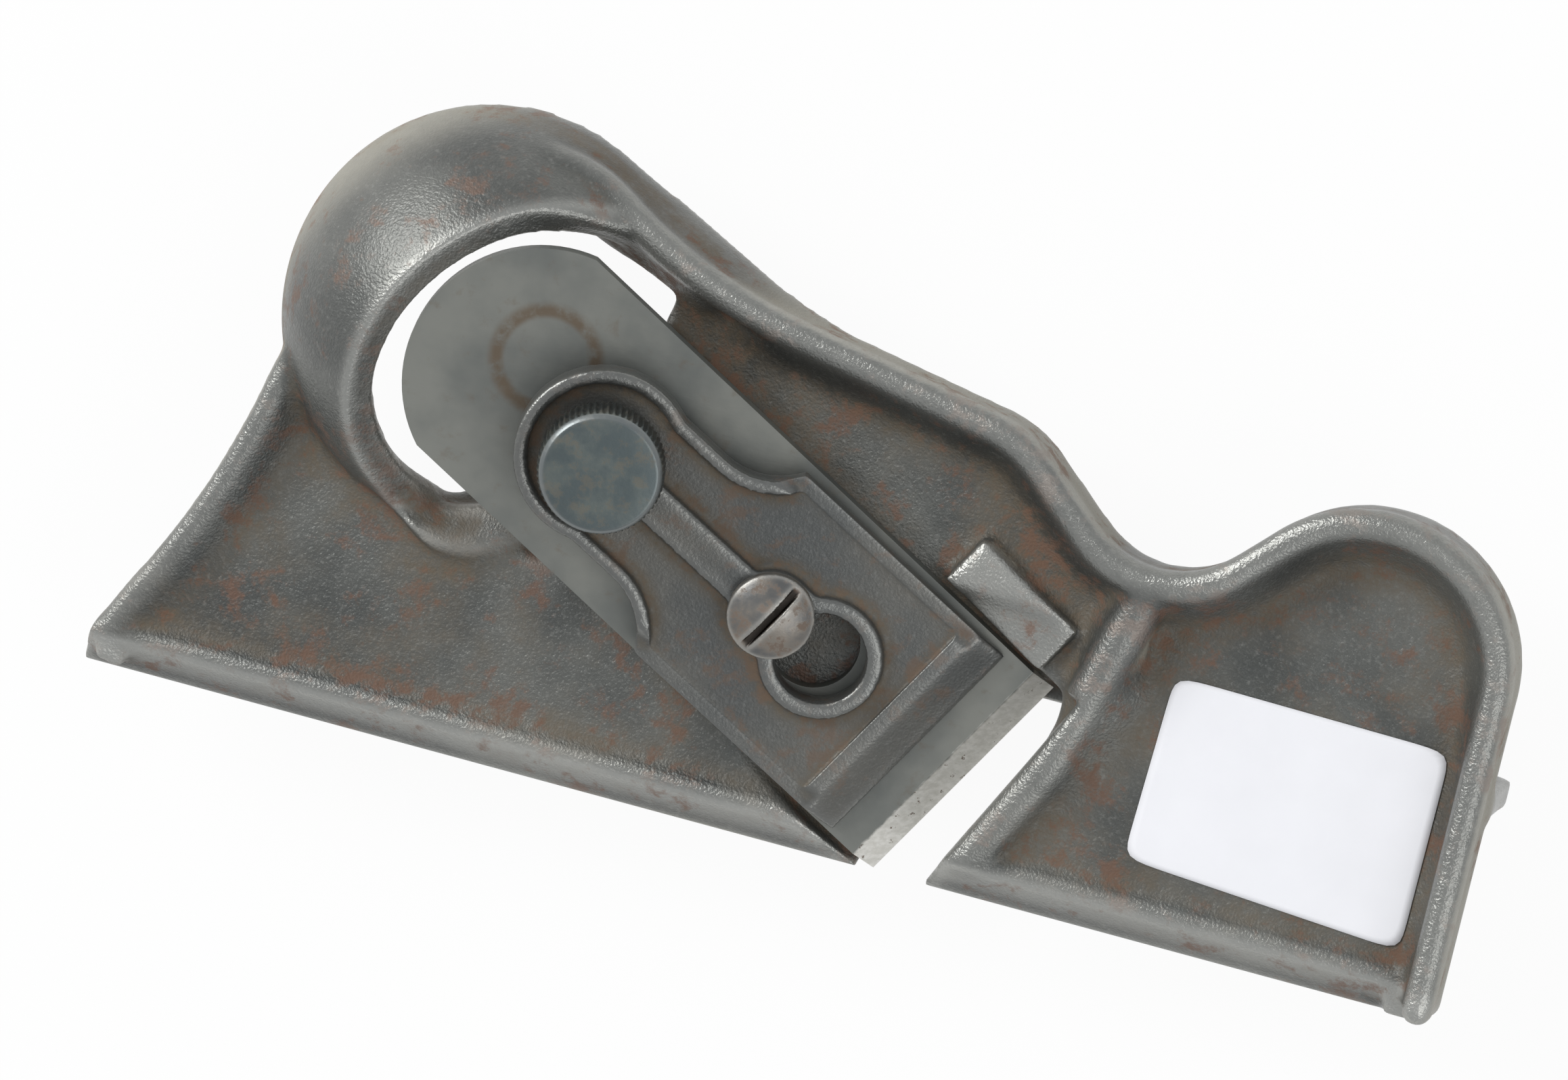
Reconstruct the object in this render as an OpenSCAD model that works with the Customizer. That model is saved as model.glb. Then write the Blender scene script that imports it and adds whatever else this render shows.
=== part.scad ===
// Edge trimming plane: one cast body with a sole, a fence and a palm dome, a skewed cutter,
// and the lever cap, cap screw and thumb screw that clamp it.
// X runs along the sole towards the toe, Y runs from the free edge of the sole to the fence
// and beyond, and Z is square to the sole. The fence stands on Z = 0 and the sole faces down.
// Positions are counted from the heel's corner, and each part is centred when it is drawn.

/* [Sole and fence] */
// Overall length from heel to toe
body_len = 152.4; // [146:0.2:160]
// Width of the sole, from its free edge to the face of the fence
sole_w = 22.2; // [20:0.2:25]
// Thickness of the plate between its rims
floor_t = 4; // [3:0.25:5.5]
// Depth of the fence below the sole
fence_drop = 14.5; // [11:0.5:20]
// Thickness of the fence
fence_t = 3; // [2.5:0.25:4.5]
// Radius of the fence's far corners
fence_corner_r = 2.5; // [1:0.5:5]
// Radius of the screw holes for a bevel block
block_hole_r = 2.4; // [1.8:0.1:3]
// Distance between the two screw holes
block_hole_gap = 76.2; // [60:0.5:90]
// Distance of the toe's screw hole from the toe end
block_hole_x = 26; // [20:1:40]

/* [Rolled rim] */
// Height of the rim above the sole
rim_h = 10; // [8:0.5:12]
// Half of the rim's thickness, which is the radius of its bead
rim_r = 1.8; // [1.4:0.1:2.2]
// How much the bead stands out from the wall below it, on each side
bead_over = 0.2; // [0.1:0.05:0.4]
// How much one stretch of a rim is dressed back from the next
dressing = 0.05; // [0.03:0.01:0.1]
// Size of the cove between the rim and the plate
rim_fillet = 2.4; // [1:0.2:3]
// Radius of the finger hump, to the middle of the rim
hump_r = 14.8; // [13:0.2:16]
// Height of the hump's centre above the free edge
hump_y = 35.6; // [32:0.2:38]
// Radius of the valley behind the hump
valley_r = 12.2; // [10:0.2:14]
// Straight length between the hump and the valley
rise_len = 5.4; // [3:0.2:8]
// Slope of that straight length, in degrees
rise_a = 45.6; // [40:0.2:50]
// Straight length between the valley and the shoulder
fall_len = 8.8; // [6:0.2:11]
// Slope of that straight length, in degrees
fall_a = 41; // [36:0.5:46]
// Radius of the shoulder above the valley
shoulder_r = 13; // [10:0.5:16]
// Length of the long straight slope
slope_len = 22.4; // [18:0.2:26]
// Angle of the long slope to the free edge, in degrees
slope_a = 10.5; // [8:0.5:13]
// Radius of the sweep from the slope up to the dome
sweep_r = 60; // [50:1:70]
// Angle at which that sweep runs into the dome, in degrees
sweep_end_a = 34; // [32:1:36]
// Half of the heel rim's thickness
heel_rim_r = 1.5; // [1.2:0.1:1.8]
// Height of the heel rim above the sole, where it meets the dome
heel_rim_h = 8.5; // [7:0.5:10]
// Radius of the heel edge's hollow
heel_hollow_r = 93; // [80:1:110]
// Radius of the heel edge's rounded foot
heel_foot_r = 28; // [24:1:34]

/* [Lower edge] */
// Width of the bevelled band along the free edge
band_w = 4.6; // [4:0.2:6]
// Height of the band's ridge above the sole
band_h = 5.2; // [4.8:0.1:6.5]
// Thickness of the free edge itself
edge_t = 1; // [0.6:0.1:2]
// Width of the band's inner flank
band_flank = 1.2; // [0.8:0.1:2]

/* [Palm dome] */
// Outer radius of the palm dome
dome_r = 23.2; // [22:0.1:25]
// Thickness of the dome
dome_wall = 2; // [1.6:0.1:2.2]
// Radius of the dome's round mouth
opening_r = 20.2; // [19:0.1:21]
// Angle between the mouth of the dome and the sole, in degrees
opening_a = 45; // [42:1:48]
// Distance from the cutting edge back to the middle of the dome's mouth
opening_u = 62.5; // [61:0.5:65]
// Distance from the cutter's middle line to the middle of the dome's mouth
opening_v = 1.7; // [0.5:0.1:3]
// Height of the middle of the dome's mouth above the sole
opening_z = 6.2; // [5:0.2:7]
// How much wider the gap in front of the dome is than the dome's inside
bore_lip = 0.15; // [0.1:0.05:0.3]
// Corner radius of the gap in front of the dome
gap_corner_r = 4; // [2:0.5:6]

/* [Bed and mouth] */
// Angle between the cutting edge and square across the sole, in degrees
skew = 31; // [28:0.5:33]
// Angle of the bed to the sole, in degrees
bed_a = 12; // [10:0.5:14]
// Distance from the heel to the middle of the cutting edge
edge_x = 96.7; // [94:0.1:99]
// Distance from the free edge of the sole to the near corner of the cutting edge
edge_inset = 0.2; // [0:0.1:1]
// Distance from the cutting edge back to the front of the bed
bed_start = 1.5; // [1:0.1:3]
// Distance from the cutting edge back to the end of the bed
bed_end = 56.2; // [54:0.2:58]
// How far the bed block stays inside the cutter's width on each side
bed_inset = 1.6; // [1:0.1:3]
// How far the bed stands above the floor of the channel round it
bed_relief = 0.2; // [0.1:0.1:0.6]
// Opening of the mouth in front of the cutting edge, at the free edge
mouth_gap = 5; // [4.4:0.1:7]
// Angle between the mouth's front wall and square across the sole, in degrees
mouth_a = 27.5; // [26:0.5:29]
// How far the mouth runs on past the cutter's far corner
mouth_over = 0.6; // [0.4:0.1:1.5]
// Depth of the mouth's notch in the fence, below the sole
notch_drop = 1.5; // [1:0.1:3]
// Gap between the cutter's sides and the casting
side_gap = 0.9; // [0.5:0.1:1.5]
// Width of the cheek beside the cutter
cheek_w = 6.2; // [4:0.2:8]
// Length of the cheek
cheek_len = 14; // [10:0.5:18]
// Distance from the cutting edge back to the cheek
cheek_start = 2; // [1:0.5:4]
// Height of the cheek above the sole
cheek_h = 6.6; // [5:0.2:8]
// Half of the width of the diagonal rib
rib_r = 2.5; // [2:0.1:3]
// Height of the diagonal rib above the sole at the free edge
rib_h_low = 5.4; // [4.6:0.2:6]
// Height of the diagonal rib above the sole where it meets the rim
rib_h_top = 9.4; // [8:0.2:10]
// How much of the rib's side the mouth's front wall cuts off
rib_cut = 0.5; // [0.3:0.1:1]
// Distance from the free edge to the rib's knee, square to the edge
rib_knee = 17; // [14:0.5:20]
// Radius of the rib's knee
rib_knee_r = 12; // [8:0.5:16]

/* [Cutter] */
// Width of the cutter
cutter_w = 27.8; // [26:0.1:29]
// Length of the cutter from its edge to the top of its round end
cutter_len = 76.6; // [74:0.1:78]
// Thickness of the cutter
cutter_t = 2; // [1.6:0.1:2.2]
// Radius of the cutter's round end
cutter_end_r = 14.8; // [14.5:0.1:16]
// Length of the ground bevel
bevel_len = 3; // [2.5:0.1:5]
// Width of the cutter's slot
slot_w = 10; // [9.6:0.1:11]
// Distance from the cutting edge to the front of the slot
slot_start = 17; // [14:0.5:20]
// Length of the slot
slot_len = 25; // [22:0.5:27]

/* [Lever cap] */
// Distance from the cutting edge back to the nose of the lever cap
cap_nose = 6.5; // [6:0.1:8]
// Length of the lever cap
cap_len = 55.5; // [53:0.5:58]
// Width of the lever cap's front part
cap_w = 26.6; // [24:0.1:27.5]
// Distance from the nose back to the middle of the shoulder curves
flare_x = 36.4; // [34:0.2:38]
// Radius of the shoulder curves
flare_r = 8.2; // [7:0.1:9]
// Width of the lever cap's waist
cap_waist = 17.6; // [16:0.1:19]
// Radius of the lever cap's round end
cap_end_r = 9.5; // [9:0.1:10.5]
// Thickness of the lever cap
cap_t = 3.6; // [3:0.1:4.5]
// Angle at which the lever cap lies to the cutter, in degrees
cap_a = 2.5; // [2:0.1:3.5]
// Width of the smooth band behind the nose
nose_w = 4.1; // [3:0.1:5]
// Thickness of the lever cap at its nose
nose_t = 1; // [0.7:0.1:1.4]
// Width of the raised edge
cap_rim_w = 1.5; // [1.1:0.1:2]
// Depth of the field inside the raised edge
field_d = 1.3; // [0.8:0.1:1.6]
// Width of the rib between the two screws
cap_rib_w = 4.4; // [3:0.1:5.5]
// Distance from the nose back to the cap screw
cap_screw_x = 21.6; // [20:0.1:23]
// Distance between the two ends of the keyhole
keyhole_run = 7.2; // [6.5:0.1:7.4]
// Width of the wall round the keyhole
keyhole_wall = 1.8; // [1.2:0.1:2.2]

/* [Screws] */
// Radius of the cap screw's head
cap_head_r = 4.65; // [4.3:0.05:4.75]
// Height of the cap screw's rim below its dome
cap_head_h = 1.3; // [1:0.1:2]
// Radius of the cap screw's shank
cap_shank_r = 2.6; // [2.2:0.1:2.8]
// Height of the cap screw's dome
cap_dome_h = 1.5; // [1:0.1:2]
// Width of the screwdriver slot
driver_slot_w = 0.9; // [0.7:0.1:1.4]
// Depth of the screwdriver slot
driver_slot_d = 1.3; // [0.8:0.1:1.8]
// Depth of the cap screw's thread in the bed
thread_depth = 4.6; // [3.5:0.1:5]
// Radius of the thumb screw's head
thumb_r = 6.7; // [6:0.1:7.5]
// Height of the thumb screw's head
thumb_h = 6; // [5:0.1:7]
// Radius of the thumb screw's shank
thumb_shank_r = 3.2; // [2.6:0.1:3.6]
// Gap between the thumb screw's head and the lever cap
thumb_gap = 1.2; // [0.6:0.1:2.5]
// Number of teeth in the knurl
knurl_teeth = 61; // [48:1:72]
// Depth of the knurl
knurl_d = 0.25; // [0.15:0.05:0.35]
// Height of the smooth chamfer above the knurl
thumb_chamfer = 0.7; // [0.4:0.1:1]

/* [Fits] */
// Running clearance round a screw
run_gap = 0.05; // [0.02:0.01:0.09]
// Gap between parts that lie on each other
seat_gap = 0.05; // [0.02:0.01:0.1]
// Gap round the cap screw in the keyhole
keyhole_gap = 0.25; // [0.15:0.05:0.4]

/* [Hidden] */
$fn = 48;
over = 1;
far = 60;

// A unit step in direction a, in degrees from X.
function dir(a) = [cos(a), sin(a)];

// Where a cove of twice the fillet's size has its centre, so that it meets both walls.
cove = (1 + sqrt(7)) / 2;
rim_end = rim_r + bead_over;

// How far one stretch of a rim laps into the next, and that length as an angle at radius r.
lap = 0.5;
function lap_a(r) = lap / r * 180 / PI;

// The rim's middle line runs from the toe back to the dome as arcs and tangent lines.
hump = [body_len - rim_r - hump_r, hump_y];
hump_in = hump + hump_r * dir(90 + rise_a);
valley_out = hump_in - rise_len * dir(rise_a);
valley = valley_out + valley_r * dir(90 + rise_a);
valley_in = valley - valley_r * dir(90 - fall_a);
shoulder_out = valley_in - fall_len * dir(-fall_a);
shoulder = shoulder_out - shoulder_r * dir(90 - fall_a);
shoulder_in = shoulder + shoulder_r * dir(90 - slope_a);
slope_in = shoulder_in - slope_len * dir(-slope_a);
sweep = slope_in + sweep_r * dir(90 - slope_a);
sweep_in = sweep - sweep_r * dir(90 - sweep_end_a);
join_r = 14;
join_turn = 42;
join = sweep_in - join_r * dir(90 - sweep_end_a);

// The heel rim's middle line: a rounded foot, then a long hollow that ends on the dome.
heel_a = 80;
heel_mid_a = 59;
heel_top_a = 77;
heel_foot_y = -heel_foot_r * cos(heel_a);
heel_foot = [sqrt((heel_foot_r + heel_rim_r) ^ 2 - heel_foot_y ^ 2), heel_foot_y];
heel_tip = heel_foot - heel_foot_r * dir(heel_a - 90);
heel_mid = heel_foot - heel_foot_r * dir(heel_mid_a - 90);
heel_hollow = heel_mid + heel_hollow_r * dir(heel_mid_a + 90);
heel_top = heel_hollow - heel_hollow_r * dir(heel_top_a + 90);

dome_back = sqrt(dome_r * dome_r - opening_r * opening_r);
sole_z = fence_drop;
edge_y = edge_inset + cutter_w / 2 * cos(skew);
edge_xy = [edge_x, edge_y];
mouth_front = [edge_x - edge_y * tan(skew) + mouth_gap / cos(skew), 0];
fence_x = heel_hollow[0] + sqrt((heel_hollow_r - heel_rim_r) ^ 2
    - (sole_w + fence_t - heel_hollow[1]) ^ 2);
dome_xy = edge_xy + (opening_u + dome_back * sin(opening_a)) * dir(180 - skew)
    - opening_v * dir(90 - skew);
rib_low = mouth_front + (rib_r - rib_cut) * dir(-mouth_a);
rib_top = valley - valley_r * dir(90);
rib_in = rib_low + rib_knee / cos(mouth_a) * dir(90 - mouth_a);
rib_centre = rib_in + rib_knee_r * dir(180 - mouth_a);
rib_run = rib_top - rib_centre;
rib_turn = atan2(rib_run[1], rib_run[0]) - acos(rib_knee_r / norm(rib_run)) + mouth_a;
dome_low = opening_z - dome_back * cos(opening_a);
body_w = dome_xy[1] + sqrt(dome_r ^ 2 - dome_low ^ 2);
cap_end_x = cap_len - cap_end_r;
bed_z = (cutter_t + seat_gap + cap_screw_x * sin(cap_a)) / cos(cap_a);
inner_r = dome_r - dome_wall;
bore_r = sqrt(inner_r * inner_r - dome_back * dome_back) + bore_lip;
bore_flat = (opening_u - bed_end) * cos(opening_a) + opening_z * sin(opening_a);
thumb_foot = (cap_end_x - thumb_shank_r) * tan(cap_a);

// Moves the heel's corner so that the origin is under the middle of the whole box.
module centred() {
    translate([-body_len / 2, -body_w / 2, 0]) children();
}

// Places children in the frame of the cutting edge: X runs back along the cutter, on the sole.
module at_edge() {
    translate([edge_x, edge_y, sole_z]) rotate([0, 0, 180 - skew]) children();
}

// Places children on the bed: X runs up the bed, Z is square to it.
module on_bed() {
    at_edge() rotate([0, -bed_a, 0]) children();
}

// Places children on the lever cap: the origin is the middle of its nose.
module on_cap() {
    on_bed() translate([cap_nose, 0, cutter_t + seat_gap]) rotate([0, -cap_a, 0]) children();
}

// Places children in the mouth of the palm dome: Z looks out of the mouth.
module on_opening() {
    at_edge() translate([opening_u, opening_v, opening_z]) rotate([0, -opening_a, 0]) children();
}

// Carries a vertical section from p to q as a flat wall, which laps into what it meets.
module along(p, q) {
    run = norm(q - p);
    start = p - lap / run * (q - p);
    translate([start[0], start[1], sole_z]) rotate([90, 0, atan2(q[1] - p[1], q[0] - p[0]) + 90])
        linear_extrude(run + 2 * lap) children();
}

// Carries a vertical section round centre c at radius r, from angle a0 to angle a1.
module around(c, r, a0, a1) {
    translate([c[0], c[1], sole_z]) rotate([0, 0, a0]) rotate_extrude(angle = a1 - a0)
        translate([r, 0]) children();
}

// The section of a rim or rib about its middle line: a wall with a thicker bead on top.
module beaded(r, h) {
    translate([0, h - r]) circle(r);
    translate([bead_over - r, 0]) square([2 * (r - bead_over), h - r]);
}

// The rolled rim's section, with a cove between the wall and the plate on one side.
module rim_section(side, r = rim_r, h = rim_h) {
    half = r - bead_over;
    beaded(r, h);
    difference() {
        translate([side > 0 ? 0 : -half - rim_fillet, 0])
            square([half + rim_fillet, floor_t + rim_fillet]);
        translate([side * (half + cove * rim_fillet), floor_t + cove * rim_fillet])
            circle(2 * rim_fillet);
    }
}

// The section of the stretches that lap into a curve, dressed a little inside it.
module dressed_section() {
    rim_section(-1, rim_r - dressing, rim_h - dressing);
}

// The rolled rim from the dome to the toe.
module rolled_rim() {
    join_a = 90 - sweep_end_a;
    around(join, join_r, join_a - lap_a(join_r), join_a + join_turn) dressed_section();
    around(sweep, sweep_r, 270 - sweep_end_a, 270 - slope_a) rim_section(1);
    along(slope_in, shoulder_in) dressed_section();
    around(shoulder, shoulder_r, 90 - fall_a, 90 - slope_a) rim_section(-1);
    along(shoulder_out, valley_in) dressed_section();
    around(valley, valley_r, 270 - fall_a, 270 + rise_a) rim_section(1);
    along(valley_out, hump_in) dressed_section();
    around(hump, hump_r, 0, 90 + rise_a) rim_section(-1);
    along(hump + [hump_r, 0], [hump[0] + hump_r, rim_end + lap]) dressed_section();
    translate([hump[0] + hump_r, rim_end, sole_z]) {
        cylinder(r = rim_r - bead_over, h = rim_h - rim_r);
        translate([0, 0, rim_h - rim_r]) sphere(rim_r);
    }
}

// Tilts children about the sole so that their height goes from h0 at p to h1 at q.
module risen(p, q, h0, h1) {
    chord_a = atan2(q[1] - p[1], q[0] - p[0]);
    intersection() {
        translate([p[0], p[1], sole_z + h0 - h1]) rotate([0, 0, chord_a])
            rotate([0, -atan((h1 - h0) / norm(q - p)), 0]) rotate([0, 0, -chord_a])
            translate([-p[0], -p[1], -sole_z]) children();
        translate([-over, 0, sole_z]) cube([body_len, far, far]);
    }
}

// The rim along the heel, which rises from the free edge to the dome.
module heel_rim() {
    risen(heel_tip, heel_top, band_h, heel_rim_h) {
        around(heel_foot, heel_foot_r, heel_mid_a + 90 - lap_a(heel_foot_r), heel_a + 95)
            beaded(heel_rim_r - dressing, heel_rim_h - dressing);
        around(heel_hollow, heel_hollow_r, heel_mid_a - 90, heel_top_a - 90)
            beaded(heel_rim_r, heel_rim_h);
    }
}

// The plate's outline: the middle lines of the rims, so that its edge is inside them.
module plate_outline() {
    difference() {
        union() {
            polygon([heel_tip, [hump[0] + hump_r, 0], hump + [hump_r, 0], hump_in, valley_out,
                valley, valley_in, shoulder_out, shoulder_in, slope_in, sweep, sweep_in,
                dome_xy, heel_top, heel_mid]);
            translate(hump) circle(hump_r);
            translate(shoulder) circle(shoulder_r);
        }
        translate(valley) circle(valley_r);
        translate(sweep) circle(sweep_r);
    }
}

// The section of the bevelled band along the free edge.
module edge_band_section() {
    polygon([[0, 0], [0, edge_t], [band_w - band_flank, band_h], [band_w, band_h],
        [band_w + band_flank, floor_t], [band_w + band_flank, 0]]);
}

// The bevelled band along the free edge of the sole.
module edge_band() {
    translate([0, 0, sole_z]) rotate([90, 0, 90]) linear_extrude(body_len - rim_r)
        edge_band_section();
}

// What comes off above the bevel and beyond the free edge.
module edge_bevel() {
    run = body_len - 2 * rim_r - rim_fillet;
    slope = (band_h - edge_t) / (band_w - band_flank);
    translate([-over, 0, sole_z]) rotate([90, 0, 90]) linear_extrude(run + over)
        polygon([[-over, edge_t - slope * over], [band_w - band_flank, band_h],
            [band_w - band_flank, far], [-over, far]]);
    translate([0, -far, sole_z]) cube([run, far, far]);
}

// The inside of the palm dome, behind the end of the bed.
module dome_hollow() {
    intersection() {
        on_opening() translate([0, 0, -dome_back]) sphere(inner_r, $fn = 72);
        at_edge() translate([bed_end, -far, -far]) cube([far, 2 * far, 2 * far]);
    }
}

// The palm dome: a hollow ball cut off by the plane of its mouth and by the sole.
module palm_dome() {
    difference() {
        on_opening() difference() {
            translate([0, 0, -dome_back]) sphere(dome_r, $fn = 72);
            translate([-far, -far, 0]) cube([2 * far, 2 * far, far]);
        }
        translate([-far, -far, sole_z - 2 * far]) cube([4 * far, 4 * far, 2 * far]);
        dome_hollow();
    }
}

// The gap in front of the dome: round at the dome's mouth, flat where the plate ends.
module dome_gap() {
    corner = gap_corner_r;
    on_opening() translate([0, 0, -dome_back]) linear_extrude(dome_back + dome_r / 2) {
        circle(bore_r);
        translate([corner - bore_flat, -bore_r]) square([bore_flat - corner, 2 * bore_r]);
        translate([-bore_flat, corner - bore_r]) square([bore_flat, 2 * (bore_r - corner)]);
        for (side = [-1, 1]) translate([corner - bore_flat, side * (bore_r - corner)])
            circle(corner);
    }
}

// The block under the cutter, which carries the thread for the cap screw.
module bed_block() {
    half = cutter_w / 2 - bed_inset;
    at_edge() rotate([90, 0, 0]) translate([0, 0, -half]) linear_extrude(2 * half)
        polygon([[bed_start, 0], [bed_end, 0], [bed_end, bed_end * tan(bed_a)],
            [bed_start, bed_start * tan(bed_a)]]);
}

// The channel that the cutter lies in, cut a little below the bed.
module cutter_channel() {
    half = cutter_w / 2 + side_gap;
    on_bed() translate([-over, -half, -bed_relief]) cube([bed_end, 2 * half, far / 2]);
}

// The mouth, open at the free edge and notched into the fence.
module mouth() {
    reach = (cutter_w + mouth_over) * cos(skew) + edge_inset;
    rear = edge_xy + bed_start * dir(180 - skew);
    rear_low = rear - (rear[1] + over) / cos(skew) * dir(90 - skew);
    rear_top = rear + (reach - rear[1]) / cos(skew) * dir(90 - skew);
    front_low = mouth_front - over / cos(mouth_a) * dir(90 - mouth_a);
    front_top = mouth_front + reach / cos(mouth_a) * dir(90 - mouth_a);
    translate([0, 0, sole_z - notch_drop]) linear_extrude(far)
        polygon([rear_low, front_low, front_top, rear_top]);
}

// The flat block that guides the far side of the cutter.
module cheek() {
    at_edge() translate([cheek_start, -cutter_w / 2 - side_gap - cheek_w, 0])
        cube([cheek_len, cheek_w, cheek_h]);
}

// The round-topped rib from the free edge to the valley, along the front of the mouth.
module diagonal_rib() {
    risen(rib_low, rib_top, rib_h_low, rib_h_top) {
        along(rib_low - rib_r * dir(90 - mouth_a), rib_in) beaded(rib_r, rib_h_top);
        around(rib_centre, rib_knee_r, -mouth_a, rib_turn - mouth_a)
            beaded(rib_r + dressing, rib_h_top + dressing);
        along(rib_centre + rib_knee_r * dir(rib_turn - mouth_a), rib_top)
            beaded(rib_r, rib_h_top);
    }
}

// The fence: its face looks back along Y, its far corners are round.
module fence() {
    c = fence_corner_r;
    translate([0, sole_w + fence_t, 0]) rotate([90, 0, 0]) linear_extrude(fence_t) {
        translate([fence_x, c]) square([body_len - fence_x, fence_drop + floor_t / 2 - c]);
        translate([fence_x + c, 0]) square([body_len - fence_x - 2 * c, fence_drop]);
        translate([fence_x + c, c]) circle(c);
        translate([body_len - c, c]) circle(c);
    }
}

// Screw holes that take a bevel block on the fence.
module block_holes() {
    for (x = [body_len - block_hole_x, body_len - block_hole_x - block_hole_gap])
        translate([x, sole_w - over, fence_drop / 2]) rotate([-90, 0, 0])
            cylinder(r = block_hole_r, h = fence_t + 2 * over);
}

// The one casting that carries everything.
module body() color("dimgray") centred() {
    difference() {
        union() {
            difference() {
                union() {
                    difference() {
                        union() {
                            difference() {
                                translate([0, 0, sole_z]) linear_extrude(floor_t) plate_outline();
                                dome_hollow();
                            }
                            rolled_rim();
                            heel_rim();
                            edge_band();
                            diagonal_rib();
                            cheek();
                        }
                        edge_bevel();
                        dome_gap();
                    }
                    fence();
                }
                cutter_channel();
            }
            difference() {
                palm_dome();
                dome_gap();
            }
            bed_block();
        }
        mouth();
        block_holes();
        on_cap() translate([cap_screw_x, 0, -bed_z - thread_depth])
            cylinder(r = cap_shank_r + run_gap, h = bed_z + thread_depth);
    }
}

// The skewed cutter, bevel side up, with a round rear end and a slot for the cap screw.
module cutter() color("slategray") centred() {
    on_bed() translate([0, 0, seat_gap / 2]) difference() {
        intersection() {
            rotate([90, 0, 0]) translate([0, 0, -cutter_w / 2]) linear_extrude(cutter_w)
                polygon([[0, 0], [cutter_len, 0], [cutter_len, cutter_t], [bevel_len, cutter_t]]);
            linear_extrude(cutter_t) {
                translate([0, -cutter_w / 2]) square([cutter_len - cutter_end_r, cutter_w]);
                intersection() {
                    translate([cutter_len - cutter_end_r, 0]) circle(cutter_end_r);
                    translate([0, -cutter_w / 2]) square([cutter_len, cutter_w]);
                }
            }
        }
        translate([slot_start, 0, -over]) linear_extrude(cutter_t + 2 * over) slot(slot_w / 2, slot_len);
    }
}

// A slot of half-width r and overall length run, from the origin along X.
module slot(r, run) {
    translate([r, 0]) circle(r);
    translate([run - r, 0]) circle(r);
    translate([r, -r]) square([run - 2 * r, 2 * r]);
}

// The lever cap's outline, drawn in by inset.
module cap_outline(inset) {
    half = cap_w / 2 - inset;
    waist = cap_waist / 2 - inset;
    difference() {
        union() {
            translate([inset, -half]) square([flare_x - inset, 2 * half]);
            translate([flare_x - over, -waist]) square([cap_end_x - flare_x + over, 2 * waist]);
            translate([cap_end_x, 0]) circle(cap_end_r - inset);
        }
        for (side = [-1, 1]) translate([flare_x, side * (cap_waist / 2 + flare_r)])
            circle(flare_r + inset);
    }
}

// The keyhole of the lever cap, or with grow the wall round it.
module keyhole(grow) {
    narrow = cap_shank_r + keyhole_gap + grow;
    wide = cap_head_r + keyhole_gap + grow;
    translate([cap_screw_x, 0]) circle(narrow);
    translate([cap_screw_x - keyhole_run, -narrow]) square([keyhole_run, 2 * narrow]);
    translate([cap_screw_x - keyhole_run, 0]) circle(wide);
}

// The lever cap: a plate with a thin nose, a raised edge, a rib and a keyhole.
module lever_cap() color("gray") centred() {
    nose_slope = (cap_t - nose_t) / nose_w;
    on_cap() difference() {
        intersection() {
            linear_extrude(cap_t) cap_outline(0);
            rotate([90, 0, 0]) translate([0, 0, -cap_w]) linear_extrude(2 * cap_w)
                polygon([[0, 0], [cap_len, 0], [cap_len, cap_t], [nose_w, cap_t], [0, nose_t]]);
        }
        translate([0, 0, cap_t - field_d]) linear_extrude(field_d + over) difference() {
            intersection() {
                cap_outline(cap_rim_w);
                translate([nose_w + cap_rim_w, -cap_w]) square([cap_len, 2 * cap_w]);
            }
            keyhole(keyhole_wall);
            translate([cap_screw_x, -cap_rib_w / 2]) square([cap_end_x - cap_screw_x, cap_rib_w]);
        }
        translate([0, 0, -over]) linear_extrude(cap_t + 2 * over) keyhole(0);
        translate([cap_end_x, 0, -over]) cylinder(r = thumb_shank_r + run_gap, h = cap_t + 2 * over);
    }
}

// The cap screw: a domed slotted head over a plain shank that fills the thread in the bed.
module cap_screw() color("silver") centred() {
    cap_shank_len = cap_t + seat_gap + bed_z + thread_depth;
    ball_r = (cap_head_r * cap_head_r + cap_dome_h * cap_dome_h) / (2 * cap_dome_h);
    on_cap() translate([cap_screw_x, 0, cap_t + seat_gap]) difference() {
        union() {
            cylinder(r = cap_head_r, h = cap_head_h);
            intersection() {
                translate([0, 0, cap_head_h + cap_dome_h - ball_r]) sphere(ball_r);
                cylinder(r = cap_head_r, h = cap_head_h + cap_dome_h + over);
            }
            translate([0, 0, run_gap - cap_shank_len])
                cylinder(r = cap_shank_r, h = cap_shank_len - run_gap + over);
        }
        translate([-driver_slot_w / 2, -cap_head_r - over, cap_head_h + cap_dome_h - driver_slot_d])
            cube([driver_slot_w, 2 * cap_head_r + 2 * over, driver_slot_d + over]);
    }
}

// The knurl's section: straight teeth round the head.
module knurl_section() {
    polygon([for (i = [0 : 2 * knurl_teeth - 1])
        (thumb_r - (i % 2) * knurl_d) * dir(i * 180 / knurl_teeth)]);
}

// The thumb screw: a knurled head over a shank through the lever cap, down to the cutter.
module thumb_screw() color("steelblue") centred() {
    top = thumb_h - thumb_chamfer;
    on_cap() translate([cap_end_x, 0, cap_t + thumb_gap]) {
        linear_extrude(top) knurl_section();
        translate([0, 0, top]) cylinder(r1 = thumb_r - 2 * knurl_d, r2 = thumb_r - 2 * thumb_chamfer,
            h = thumb_chamfer);
        translate([0, 0, -cap_t - thumb_gap - thumb_foot])
            cylinder(r = thumb_shank_r, h = cap_t + thumb_gap + thumb_foot + over);
    }
}

body();
cutter();
lever_cap();
cap_screw();
thumb_screw();
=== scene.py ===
# %% [markdown]
# An old edge trimming plane, dressed in Blender.
# The real tool is one iron casting with a skewed cutter, a lever cap and two screws. The packed
# CAD model already says where each of them is, so this lesson only works on how they look: cast
# corners that run into each other, worn beads, rust in the hollows, and a ground cutting edge.

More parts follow.
